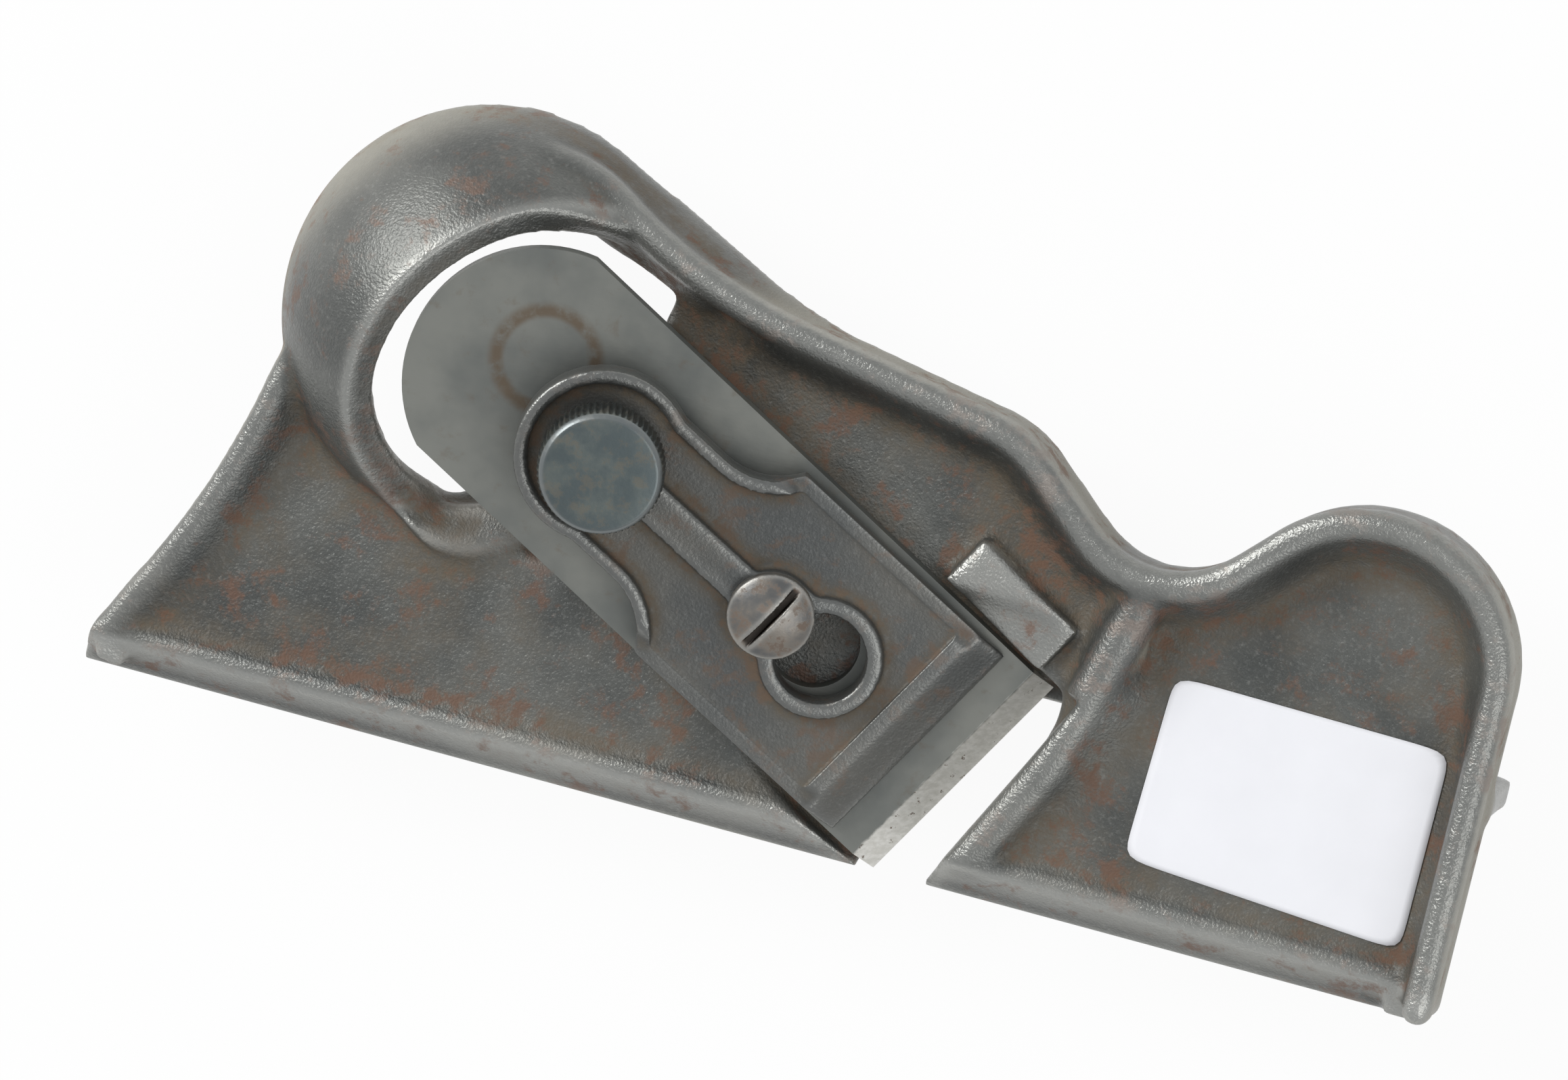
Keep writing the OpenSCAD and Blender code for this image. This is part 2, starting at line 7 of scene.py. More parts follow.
import bmesh
import bpy
import numpy as np
from mathutils import Matrix, Vector
from mathutils.bvhtree import BVHTree


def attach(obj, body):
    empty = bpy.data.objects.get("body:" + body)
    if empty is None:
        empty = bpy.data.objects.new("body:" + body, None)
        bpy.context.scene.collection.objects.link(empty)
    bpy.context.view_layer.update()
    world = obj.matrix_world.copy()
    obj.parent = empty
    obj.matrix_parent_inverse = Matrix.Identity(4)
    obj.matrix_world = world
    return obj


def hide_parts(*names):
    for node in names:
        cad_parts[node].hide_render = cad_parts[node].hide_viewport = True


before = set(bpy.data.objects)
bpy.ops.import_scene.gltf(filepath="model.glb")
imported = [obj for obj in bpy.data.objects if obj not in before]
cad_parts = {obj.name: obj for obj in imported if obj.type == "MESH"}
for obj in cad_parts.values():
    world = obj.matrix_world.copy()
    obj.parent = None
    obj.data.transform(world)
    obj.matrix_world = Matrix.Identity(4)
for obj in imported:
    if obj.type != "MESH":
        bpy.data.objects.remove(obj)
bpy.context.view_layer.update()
MM = 0.001

# %% [markdown]
# The CAD model counts every place from the heel's corner of the sole, and then centres it. The
# same values are needed here for the pieces that follow the casting, so they are written once,
# and a small function turns a place on the sole into a place in the scene. EDGE is the middle of
# the cutting edge. BACK and ACROSS lie along the cutter and across it, seen from above.

# %% Places on the casting
BOX_LOW = np.array([-76.2, -35.0635, 0.0])
SOLE_Z = 14.5
FLOOR_T = 4.0
SKEW = np.radians(31.0)
BED_DEG, CAP_DEG, MOUTH_DEG = 12.0, 14.5, 45.0
EDGE = np.array([96.7, 12.1146, SOLE_Z])
BACK = np.array([-np.cos(SKEW), np.sin(SKEW), 0.0])
ACROSS = np.array([np.sin(SKEW), np.cos(SKEW), 0.0])
UP = np.array([0.0, 0.0, 1.0])


def placed(points):
    """Turns millimetres from the heel's corner into metres in the scene."""
    return (np.asarray(points, float) + BOX_LOW) * MM


def on_sole(points):
    """Turns metres in the scene back into millimetres from the heel's corner."""
    return points / MM - placed([0.0, 0.0, 0.0]) / MM


def over_bed(angle_deg):
    """Directions along and square to a plane that climbs towards the cutter's rear end."""
    angle = np.radians(angle_deg)
    along = np.cos(angle) * BACK + np.sin(angle) * UP
    square = -np.sin(angle) * BACK + np.cos(angle) * UP
    return along, square


print("cutting edge, middle, in m:", np.round(placed(EDGE), 4).tolist())

# %% [markdown]
# A surface worked out with numpy is a grid of points. The helpers below turn such a grid into
# a mesh: rows run along the surface, columns run round it. The last column is joined to the
# first, and a cap closes each open end of a tube with one face.

# %% From a grid of points to a mesh
def mesh_object(name, points, faces, smooth=True):
    """Makes an object at the origin from points in metres and faces as lists of indices."""
    mesh = bpy.data.meshes.new(name)
    mesh.from_pydata(np.asarray(points, float).tolist(), [], faces)
    mesh.polygons.foreach_set("use_smooth", np.full(len(mesh.polygons), smooth))
    mesh.update()
    piece = bpy.data.objects.new(name, mesh)
    bpy.context.scene.collection.objects.link(piece)
    return piece


def grid_faces(rows, columns):
    """The quads between neighbouring rows and columns of a grid, closed round its columns."""
    row, column = np.meshgrid(np.arange(rows - 1), np.arange(columns), indexing="ij")
    beside = (column + 1) % columns
    quads = np.stack([row * columns + column, row * columns + beside,
                      (row + 1) * columns + beside, (row + 1) * columns + column], axis=-1)
    return quads.reshape(-1, 4).tolist()


def tube(name, rings):
    """Joins rings in millimetres into a closed tube, with one face on each end."""
    rows, columns = rings.shape[:2]
    faces = grid_faces(rows, columns)
    faces.append(np.arange(columns)[::-1].tolist())
    faces.append((np.arange(columns) + (rows - 1) * columns).tolist())
    return mesh_object(name, placed(rings.reshape(-1, 3)), faces)


def over_sole(flat, high):
    """Rings from places on the sole (x, y) and heights over the sole's plane, in millimetres."""
    return np.concatenate([flat, (SOLE_Z + high)[..., None]], axis=2)


print("helpers: mesh_object, grid_faces, tube, over_sole")

# %% [markdown]
# Shader maths reads best as a formula. This small class wraps a socket, so that rust * (1 - wear)
# adds the Math nodes by itself. Most other nodes come from one method, which sets the node's
# own settings first and then fills its sockets with values or links.

# %% Shader formulas
class Shade:
    """A socket in a material, with arithmetic."""

    def __init__(self, tree, socket):
        self.tree, self.socket = tree, socket

    def math(self, operation, *values, clamp=False):
        settings = {"operation": operation, "use_clamp": clamp}
        return self.node("ShaderNodeMath", settings, dict(enumerate(values)))

    def node(self, kind, settings, sockets, out=0):
        made = self.tree.nodes.new(kind)
        for name, value in settings.items():
            setattr(made, name, value)
        for name, value in sockets.items():
            if isinstance(value, Shade):
                self.tree.links.new(value.socket, made.inputs[name])
            else:
                made.inputs[name].default_value = value
        return Shade(self.tree, made.outputs[out])

    def __add__(self, other):
        return self.math("ADD", self, other)

    def __sub__(self, other):
        return self.math("SUBTRACT", self, other)

    def __rsub__(self, other):
        return self.math("SUBTRACT", other, self)

    def __mul__(self, other):
        return self.math("MULTIPLY", self, other)

    def clamp(self):
        return self.math("ADD", self, 0.0, clamp=True)

    def step(self, low, high):
        """A smooth step from 0 at low to 1 at high."""
        settings = {"interpolation_type": "SMOOTHSTEP"}
        sockets = {0: self, 1: low, 2: high, 3: 0.0, 4: 1.0}
        return self.node("ShaderNodeMapRange", settings, sockets)

    def mix(self, first, second):
        """The colour first where this is 0, and second where this is 1."""
        settings = {"data_type": "RGBA"}
        return self.node("ShaderNodeMix", settings, {0: self, 6: first, 7: second}, out=2)

    __radd__ = __add__
    __rmul__ = __mul__


print("shader formulas ready")

# %% [markdown]
# Every finish on this tool starts in the same way: a principled shader, the object's own
# coordinates, and noise at a size given in millimetres. One class keeps them together.

# %% A finish and its noise
class Finish:
    """A new material with its principled shader, its coordinates and noise measured in mm."""

    def __init__(self, name):
        self.material = bpy.data.materials.new(name)
        self.material.use_nodes = True
        self.tree = self.material.node_tree
        self.shader = self.tree.nodes["Principled BSDF"]
        place = self.tree.nodes.new("ShaderNodeTexCoord")
        self.place = Shade(self.tree, place.outputs["Object"])

    def noise(self, size_mm, detail, rough=0.55, stretch=(1, 1, 1), turn=(0, 0, 0)):
        """Noise of about this size. It is stretched along the tool's own axes before it is
        turned, so the turn only picks another part of the noise."""
        place = self.place.node("ShaderNodeMapping", {}, {0: self.place, 2: turn, 3: stretch})
        sockets = {"Vector": place, "Scale": 1.0 / (size_mm * MM), "Detail": detail,
                   "Roughness": rough}
        return self.place.node("ShaderNodeTexNoise", {}, sockets)

    def attribute(self, name):
        """The number that a mesh keeps for each of its points under this name."""
        return self.place.node("ShaderNodeAttribute", {"attribute_name": name}, {}, out=2)

    def bump(self, height, depth_mm, strength):
        """A normal that makes a height from 0 to 1 look depth_mm deep."""
        sockets = {"Height": height, "Distance": depth_mm * MM, "Strength": strength}
        return self.place.node("ShaderNodeBump", {}, sockets)

    def set(self, **values):
        """Fills the shader's sockets with values or links, and gives the material back."""
        for name, value in values.items():
            socket = self.shader.inputs[name.replace("_", " ")]
            if isinstance(value, Shade):
                self.tree.links.new(value.socket, socket)
            else:
                socket.default_value = value
        return self.material


def colour(red, green, blue):
    """A colour as seen on a screen, 0 to 255, as linear values for a shader."""
    seen = np.array([red, green, blue]) / 255.0
    linear = np.where(seen < 0.04045, seen / 12.92, ((seen + 0.055) / 1.055) ** 2.4)
    return (*linear.tolist(), 1.0)


print("mid grey as linear:", np.round(colour(128, 128, 128), 3).tolist())

# %% [markdown]
# Cast iron that has been handled for a century is dark where nothing touches it, bright and
# smooth on the beads where hands rub it, and brown with rust and old wax in the corners. A few
# numbers on each point of the mesh say where that is: edge stands out, hollow lies deep, flank
# faces outwards and is painted pale with dust and a sheen of grazing light, low is where dirt
# collects and, round the dome's foot, where shade is painted, and band is where the iron is bare.
# They are worked out later, from the shape and the place. The grain of the casting is bump, in
# three sizes.

# %% Cast iron
# The first colour is brown dirt, and also painted shade on the floor round the dome's foot. The
# second is pale dust, and also a painted sheen of grazing light on the outer flank.
DIRT_AND_SHADE, DUST_AND_SHEEN = colour(92, 80, 62), colour(150, 146, 134)
GRAIN_DEPTH = 0.2


def cast_iron(name, dark, light, rust, worn, rust_share=1.0, grain=1.0):
    """Old cast iron: colours of the dark skin, its lighter patches, the rust and the worn beads."""
    f = Finish(name)
    edge, hollow = f.attribute("edge"), f.attribute("hollow")
    cloud, patch, speck = f.noise(19.0, 4.0), f.noise(6.5, 8.0, 0.68), f.noise(0.6, 3.0, 0.6)
    broken, flank = f.noise(1.6, 8.0, 0.75), f.attribute("flank")
    # A dark skin with lighter clouds, and small specks where it is worn.
    skin = cloud.step(0.35, 0.68).mix(dark, light)
    skin = (speck.step(0.50, 0.80) * 0.2).mix(skin, worn)
    # Dirt fills hollows and low places, with painted shade round the dome's foot. The flank gets
    # pale dust and a painted sheen of grazing light, and bands are bare.
    dirt_and_shade = (hollow * 1.2 + f.attribute("low") * f.noise(9.0, 5.0).step(0.42, 0.66) * 0.7).clamp()
    dirt_and_shade = dirt_and_shade * (0.3 + broken.step(0.3, 0.6) * 0.7)
    skin = (dirt_and_shade * 0.75).mix(skin, DIRT_AND_SHADE)
    skin = (flank * (0.45 + broken * 0.7)).clamp().mix(skin, DUST_AND_SHEEN)
    skin = (f.attribute("band") * 0.7).clamp().mix(skin, worn)
    # Rust grows where the large and the small noise are both high, and hides what is under it.
    spread = (patch * 0.7 + hollow * 0.05 + broken * 0.5).step(0.62, 0.74) * rust_share
    skin = (spread.clamp() * 0.62).mix(skin, rust)
    # Wear on the beads comes last. Rubbed iron is smoother and more metallic.
    rubbed = (edge * (0.3 + broken * 0.9)).clamp()
    skin = (rubbed * 0.62).mix(skin, worn)
    coarse, middle, fine = f.noise(2.4, 3.0), f.noise(0.7, 5.0, 0.7), f.noise(0.3, 1.0)
    height = coarse * 0.45 + middle * 0.6 + fine * 0.7
    normal = f.bump(height, GRAIN_DEPTH * grain, 0.65)
    rough = 0.39 + spread.clamp() * 0.2 + dirt_and_shade * 0.25 + flank * 0.2 - rubbed * 0.13
    metal = (0.55 + rubbed * 0.25 - dirt_and_shade * 0.4 - flank * 0.45).clamp()
    return f.set(Base_Color=skin, Roughness=rough, Metallic=metal, Normal=normal)


IRON = cast_iron("casting_iron", dark=colour(76, 78, 76), light=colour(106, 107, 103),
                 rust=colour(116, 84, 66), worn=colour(176, 176, 171))
CAP_IRON = cast_iron("cap_iron", dark=colour(80, 82, 81), light=colour(100, 99, 94),
                     rust=colour(112, 88, 70), worn=colour(140, 141, 138),
                     rust_share=0.7, grain=0.45)
print("cast finishes:", IRON.name, CAP_IRON.name)

# %% [markdown]
# The cutter is flat rolled steel: dark grey, with faint marks and one round stain, where something
# once stood on it. Only the ground bevel at the front is bare, with pits of rust. A mask that
# measures the distance behind the cutting edge keeps the bare steel there.

# %% Steel for the cutter
CUTTER_T = 2.0
BARE_FROM, BARE_TO = 2.95, 3.35
STAIN_BACK, STAIN_ASIDE = 63.4, 2.4
STAIN_IN, STAIN_OUT = (4.2, 5.0), (5.4, 6.6)


def cutter_steel():
    """Grey steel whose first 3 mm are ground bare, measured back from the cutting edge. The stain
    is a ring: what lies outside one circle and inside a larger one."""
    f = Finish("cutter_steel")
    along, square = over_bed(BED_DEG)
    axis = f.place.node("ShaderNodeVectorMath", {"operation": "DOT_PRODUCT"},
                        {0: f.place, 1: tuple(along)}, out=1)
    start = float(placed(EDGE) @ along)
    behind = (axis - start) * (1.0 / MM)
    ground = 1.0 - (behind + f.noise(1.2, 2.0) * 0.5).step(BARE_FROM, BARE_TO)
    cloud, patch = f.noise(12.0, 4.0), f.noise(2.4, 5.0, 0.65)
    turned = (0.0, 0.0, float(SKEW))
    lines = f.noise(0.5, 3.0, 0.6, stretch=(0.08, 1.0, 1.0), turn=turned)
    skin = cloud.step(0.3, 0.7).mix(colour(102, 105, 102), colour(127, 128, 122))
    skin = (patch.step(0.56, 0.74) * 0.35).mix(skin, colour(104, 90, 74))
    stain = placed(EDGE + STAIN_BACK * along + CUTTER_T * square + STAIN_ASIDE * ACROSS)
    away = f.place.node("ShaderNodeVectorMath", {"operation": "DISTANCE"},
                        {0: f.place, 1: tuple(stain)}, out=1) * (1.0 / MM)
    ring = away.step(*STAIN_IN) * (1.0 - away.step(*STAIN_OUT)) * patch.step(0.25, 0.55)
    skin = (ring * 0.8).mix(skin, colour(98, 82, 64))
    bare = lines.step(0.3, 0.75).mix(colour(206, 204, 196), colour(228, 226, 220))
    pits = f.noise(1.1, 6.0, 0.75).step(0.61, 0.65)
    bare = (pits * 0.9).mix(bare, colour(92, 74, 56))
    height = lines * 0.5 + f.noise(0.8, 3.0) * 0.5 - pits * ground * 1.2
    return f.set(Base_Color=ground.mix(skin, bare), Metallic=0.55 + ground * 0.1,
                 Roughness=0.44 - ground * 0.08 + patch * 0.1, Normal=f.bump(height, 0.05, 0.5))


CUTTER_STEEL = cutter_steel()
print("cutter finish:", CUTTER_STEEL.name)

# %% [markdown]
# The two screws are turned steel. The thumb screw kept its blue, while the cap screw is rubbed
# bright on its dome and brown round its slot. Both use one recipe with different colours.

# %% Steel for the screws
def screw_steel(name, deep, pale, rust, rust_amount, worn):
    """Turned steel with cloudy colour, a few spots of rust and a fine grain."""
    slot_dirt = colour(38, 32, 26)
    f = Finish(name)
    edge, hollow = f.attribute("edge"), f.attribute("hollow")
    cloud, patch = f.noise(3.4, 4.0), f.noise(1.7, 6.0, 0.68)
    skin = cloud.step(0.38, 0.66).mix(deep, pale)
    spots = (patch.step(0.50, 0.62) * rust_amount).clamp()
    skin = spots.mix(skin, rust)
    skin = (edge * 0.7).clamp().mix(skin, worn)
    skin = (hollow * 0.95).clamp().mix(skin, slot_dirt)
    height = f.noise(0.5, 3.0) * 0.6 + f.noise(1.6, 2.0) * 0.5 - spots * 0.4
    return f.set(Base_Color=skin, Metallic=0.7 - spots * 0.4, Roughness=0.36 + spots * 0.3,
                 Normal=f.bump(height, 0.05, 0.5))


BLUED = screw_steel("blued_steel", deep=colour(82, 91, 92), pale=colour(98, 105, 102),
                    rust=colour(104, 92, 74), rust_amount=0.35, worn=colour(128, 132, 132))
BRIGHT = screw_steel("worn_steel", deep=colour(78, 80, 82), pale=colour(126, 118, 108),
                     rust=colour(96, 74, 56), rust_amount=0.9, worn=colour(170, 168, 162))
print("screw finishes:", BLUED.name, BRIGHT.name)

# %% [markdown]
# A casting has no sharp corners. The CAD solid is copied, merged, joined with the pieces below,
# and then remeshed with small voxels: that makes one skin of all of them, and a few rounds of
# smoothing round the corners as a foundry does. Most of these pieces are a profile carried along
# the rim, so the rim's path comes first. It is made of arcs and straight runs that touch.

# %% Paths on the casting
def arc(centre, radius, start_deg, end_deg, step_mm=0.8):
    """Points on an arc from one angle to another, about step_mm apart."""
    count = max(3, int(abs(np.radians(end_deg - start_deg)) * radius / step_mm))
    angle = np.radians(np.linspace(start_deg, end_deg, count))
    return np.array(centre) + radius * np.stack([np.cos(angle), np.sin(angle)], axis=1)


def heading(angle_deg):
    """A unit step in a direction, in degrees from X."""
    return np.array([np.cos(np.radians(angle_deg)), np.sin(np.radians(angle_deg))])


LENGTH, RIM_R, RIM_FOOT_Y = 152.4, 1.8, 2.5
HUMP_Y, HUMP_R, VALLEY_R, SHOULDER_R, SWEEP_R = 35.6, 14.8, 12.2, 13.0, 60.0
RISE_A, FALL_A, SLOPE_A, SWEEP_A = 45.6, 41.0, 10.5, 34.0
RISE_RUN, FALL_RUN, SLOPE_RUN = 5.4, 8.8, 22.4
HUMP = np.array([LENGTH - RIM_R - HUMP_R, HUMP_Y])
HUMP_IN = HUMP + HUMP_R * heading(90 + RISE_A)
VALLEY = HUMP_IN - RISE_RUN * heading(RISE_A) + VALLEY_R * heading(90 + RISE_A)
SHOULDER_OUT = VALLEY - VALLEY_R * heading(90 - FALL_A) - FALL_RUN * heading(-FALL_A)
SHOULDER = SHOULDER_OUT - SHOULDER_R * heading(90 - FALL_A)
SLOPE_IN = SHOULDER + SHOULDER_R * heading(90 - SLOPE_A) - SLOPE_RUN * heading(-SLOPE_A)
SWEEP = SLOPE_IN + SWEEP_R * heading(90 - SLOPE_A)
RIM_PATH = np.vstack([
    [[HUMP[0] + HUMP_R, RIM_FOOT_Y]], arc(HUMP, HUMP_R, 0, 90 + RISE_A),
    arc(VALLEY, VALLEY_R, 270 + RISE_A, 270 - FALL_A),
    arc(SHOULDER, SHOULDER_R, 90 - FALL_A, 90 - SLOPE_A),
    arc(SWEEP, SWEEP_R, 270 - SLOPE_A, 270 - SWEEP_A)])
print("rim path:", len(RIM_PATH), "points,",
      round(float(np.linalg.norm(np.diff(RIM_PATH, axis=0), axis=1).sum()), 1), "mm long")

# %% [markdown]
# An arc and a straight run have their points at different distances. A section is carried well
# only in even steps, so any path is walked again, and each step knows which way is left.

# %% Evenly spaced steps along a path
def even_steps(path, step_mm=0.8):
    """Points spaced evenly along a path, with the unit step to the left of it at each."""
    run = np.concatenate([[0], np.cumsum(np.linalg.norm(np.diff(path, axis=0), axis=1))])
    where = np.linspace(0, run[-1], int(run[-1] / step_mm) + 1)
    points = np.stack([np.interp(where, run, path[:, axis]) for axis in (0, 1)], axis=1)
    ahead = np.gradient(points, axis=0)
    ahead /= np.linalg.norm(ahead, axis=1, keepdims=True)
    return points, np.stack([-ahead[:, 1], ahead[:, 0]], axis=1)


print("rim steps:", len(even_steps(RIM_PATH)[0]))

# %% [markdown]
# Between a rim and the plate the casting has no corner: the bead rolls over and runs out into
# the plate like a wave, so the plate looks like a shallow dish. The section is half a wave of a
# cosine, from the crest down to the plate. Its height and width are functions of the place on
# the path, because the heel's rim and the diagonal rib grow as they climb.

# %% A roll along a path
ROLL_IN, ROLL_LIFT, ROLL_DEEP, ROLL_STEPS = 0.15, 0.03, 1.0, 13


def ramp(value, low, high):
    """A smooth step from 0 at low to 1 at high, for arrays."""
    share = np.clip((value - low) / (high - low), 0, 1)
    return share * share * (3 - 2 * share)


def roll(name, path, top, width, side=1):
    """A roll along a path, on its left (1) or right (-1) side. For each step it is a closed
    section: half a cosine wave from the crest out to the plate. top and width are functions of
    the step's x and y."""
    points, left = even_steps(path)
    high, far = top(*points.T)[:, None], width(*points.T)[:, None]
    t = np.linspace(0, 1, ROLL_STEPS)[None]
    out = ROLL_IN + (far - ROLL_IN) * t
    wave = FLOOR_T + (high - FLOOR_T) * 0.5 * (1 + np.cos(np.pi * t)) + ROLL_LIFT
    low = np.full((len(points), 1), FLOOR_T - ROLL_DEEP)
    out, high = np.hstack([out, out[:, -1:], out[:, :1]]), np.hstack([wave, low, low])
    return tube(name, over_sole(points[:, None] + left[:, None] * side * out[..., None], high))


print("a roll has", ROLL_STEPS + 2, "points round its section")

# %% [markdown]
# Six rolls lie on this casting: inside the rim, inside the heel's rim, on both sides of the
# diagonal rib, and two flat ones along the free edge, whose band is only a little higher than
# the plate. A smooth step along the path lets each one start and end softly.

# %% Rolls inside the rims
MOUTH_X = 57.5
RIM_TOP, RIM_SINK, RIM_W, RIM_LESS_W = 9.75, 4.6, 5.2, 2.2
HEEL_LOW, HEEL_RISE, HEEL_Y, HEEL_W, HEEL_MORE_W = 5.0, 3.2, 36.5, 3.2, 1.8
RIB_LOW, RIB_RISE, RIB_Y, RIB_W, RIB_MORE_W, RIB_LESS_W = 5.0, 4.0, 38.0, 4.6, 3.2, 5.0
BACK_RISE, BACK_W, BACK_MORE_W = 5.0, 0.6, 4.4
BAND_Y, BAND_TOP, BAND_W = 4.1, 5.2, 1.7
HEEL_FOOT, HEEL_HOLLOW = np.array([29.094, -4.862]), np.array([-74.597, 57.516])
HEEL_PATH = np.vstack([arc(HEEL_FOOT, 28.0, 168, 149), arc(HEEL_HOLLOW, 93.0, -31, -12.6),
                       [[17.2, 39.4], [19.0, 43.2]]])
RIB_PATH = np.array([[98.9, 5.6], [102.2, 12.0], [105.4, 18.0], [108.0, 24.0], [111.4, 35.0]])


def rim_top(x, y):
    """The rim's height, which sinks into the plate before the dome's mouth."""
    return RIM_TOP - RIM_SINK * ramp(-x, -70.0, -MOUTH_X)


def rim_width(x, y):
    """The rim's roll is narrower along the straight rim at the toe."""
    return RIM_W - RIM_LESS_W * ramp(-y, -40.0, -24.0) * ramp(x, 140.0, 146.0)


def heel_top(x, y):
    """The heel's rim climbs evenly towards the dome."""
    return HEEL_LOW + HEEL_RISE * y / HEEL_Y


def heel_width(x, y):
    """The heel's roll starts narrow at the free edge."""
    return HEEL_W + HEEL_MORE_W * ramp(y, 0, 12)


def rib_top(x, y):
    """The rib climbs evenly towards the rim."""
    return RIB_LOW + RIB_RISE * y / RIB_Y


def rib_width(x, y):
    """The rib's roll is widest halfway, and narrows where it meets the rim's roll."""
    return RIB_W + RIB_MORE_W * ramp(y, 4, 20) - RIB_LESS_W * ramp(y, 25, 35)


def back_top(x, y):
    """Behind the rib the roll grows out of the plate."""
    return FLOOR_T + BACK_RISE * ramp(y, 18, 35)


def back_width(x, y):
    """Its width grows with it."""
    return BACK_W + BACK_MORE_W * ramp(y, 17, 31)


def band_roll(name, start_x, end_x):
    """A low, narrow roll of even size along the band at the free edge."""
    path = np.array([[start_x, BAND_Y], [end_x, BAND_Y]])
    return roll(name, path, lambda x, y: BAND_TOP + 0 * x, lambda x, y: BAND_W + 0 * x)


ROLLS = [roll("rim_roll", RIM_PATH[RIM_PATH[:, 0] > MOUTH_X], rim_top, rim_width),
         roll("heel_roll", HEEL_PATH, heel_top, heel_width, side=-1),
         roll("rib_roll", RIB_PATH, rib_top, rib_width, side=-1),
         roll("rib_back", RIB_PATH[2:], back_top, back_width),
         band_roll("band_roll", 4.5, 77.5),
         band_roll("toe_roll", 101.0, 148.0)]
print("rolls:", len(ROLLS))

# %% [markdown]
# Behind the rim the dome doesn't end abruptly. A long flank fairs it into the rim's outer wall.
# It is a loft between two lines: the crest of the rim, and the foot of the flank, which starts
# on the rim's wall and ends on the ball. Across, it is half a straight slope and half a quarter
# ellipse, which gives the soft shoulder seen on the casting.

# %% Fairing between the dome and the rim
FOOT = np.array([[74.0, 55.1], [69.8, 56.4], [65.2, 58.2], [59.7, 60.9], [54.5, 63.5],
                 [50.0, 65.6], [46.0, 67.3], [41.5, 68.7]])
CREST = np.array([[74.0, 53.5], [69.5, 54.3], [64.6, 55.5], [58.4, 57.6], [52.8, 60.2],
                  [47.8, 63.1], [43.5, 65.2], [39.5, 65.8]])
CREST_TOP = 9.3


def smooth_line(knots, count):
    """A smooth line through the knots. Between two knots each axis is a Hermite cubic: it has the
    knots' values and slopes at its ends."""
    run = np.concatenate([[0], np.cumsum(np.linalg.norm(np.diff(knots, axis=0), axis=1))])
    slope = np.gradient(knots, run, axis=0)
    where = np.linspace(0, run[-1], count)
    part = np.clip(np.searchsorted(run, where, side="right") - 1, 0, len(knots) - 2)
    gap = (run[part + 1] - run[part])[:, None]
    t = (where[:, None] - run[part][:, None]) / gap
    start, end = knots[part], knots[part + 1]
    leave, arrive = gap * slope[part], gap * slope[part + 1]
    return ((2 * t ** 3 - 3 * t ** 2 + 1) * start + (t ** 3 - 2 * t ** 2 + t) * leave
            + (3 * t ** 2 - 2 * t ** 3) * end + (t ** 3 - t ** 2) * arrive)


def fairing_rings(crest, foot):
    """Sections from the crest out and down to the foot, closed along the sole."""
    t = np.radians(np.linspace(0, 90, 10))
    out = 0.5 * np.sin(t) + 0.5 * (t / t[-1])
    high = CREST_TOP * (0.5 * np.cos(t) + 0.5 * (1 - t / t[-1]))
    out, high = np.append(out, 0.0), np.append(high, 0.0)
    flat = crest[:, None, :] + (foot - crest)[:, None, :] * out[None, :, None]
    return over_sole(flat, np.tile(high, (len(crest), 1)))


FAIRING = tube("fairing", fairing_rings(smooth_line(CREST, 48), smooth_line(FOOT, 48)))
print("fairing: widest", round(float(np.linalg.norm(FOOT - CREST, axis=1).max()), 2), "mm")

# %% [markdown]
# The dome's round mouth has a thick lip, with a bead on its outer edge and a band inside it. It
# is a rounded section carried round the mouth's circle, in the mouth's own tilted plane. The
# band is narrower at the top, where the round end of the cutter passes and needs its gap.

# %% Lip of the palm dome
MOUTH_BACK, MOUTH_ASIDE, MOUTH_LIFT, MOUTH_R = 62.5, -1.7, 6.2, 19.25
MOUTH = EDGE + MOUTH_BACK * BACK + MOUTH_ASIDE * ACROSS + MOUTH_LIFT * UP
MOUTH_UP, MOUTH_OUT = over_bed(MOUTH_DEG)
MOUTH_SIDE = np.cross(MOUTH_OUT, MOUTH_UP)
LIP_PATH = np.vstack([arc([0, 0], MOUTH_R, -98, 90), arc([-4.84, 14.02], 5.2, 90, 180),
                      [[-10.04, 6.0]]])
BEAD_R, BEAD_HIGH, BAND_IN, BAND_MORE, LIP_LOW = 0.95, -0.45, 1.8, 0.5, -4.6


def lip_rings():
    """A closed section carried round the mouth: most of a circle for the bead, then the band,
    whose width grows by a smooth step of the angle from the mouth's top."""
    points, inward = even_steps(LIP_PATH, 0.6)
    angle = np.abs(np.degrees(np.arctan2(points[:, 1], points[:, 0])))
    band = BAND_IN + BAND_MORE * ramp(angle, 36, 66)
    turn = np.radians(np.linspace(200, -20, 9))
    ones = np.ones((len(points), 1))
    offset = np.hstack([ones * -BEAD_R * np.cos(turn), band[:, None] * [[0.9, 1.0, 0.95]],
                        0.2 * ones, -0.5 * ones])
    height = np.hstack([ones * (BEAD_HIGH + BEAD_R * np.sin(turn)), ones * [[-1.0, -2.4, -4.0]],
                        LIP_LOW * ones, LIP_LOW * ones])
    flat = points[:, None] + inward[:, None] * offset[..., None]
    return (MOUTH + flat[..., :1] * MOUTH_UP + flat[..., 1:] * MOUTH_SIDE
            + height[..., None] * MOUTH_OUT)


LIP = tube("lip", lip_rings())
print("lip:", len(LIP.data.vertices), "points")

# %% [markdown]
# Below the lip the dome's wall has a throat: a face that slopes in from the bead to the edge of
# the hole in the plate. It is a loft between two lines, the hole's edge and the crest above it,
# with an outer flank that drops steeply. One loft is the tongue where the dome ends at the
# heel's side, the other fills the wall behind the cutter.

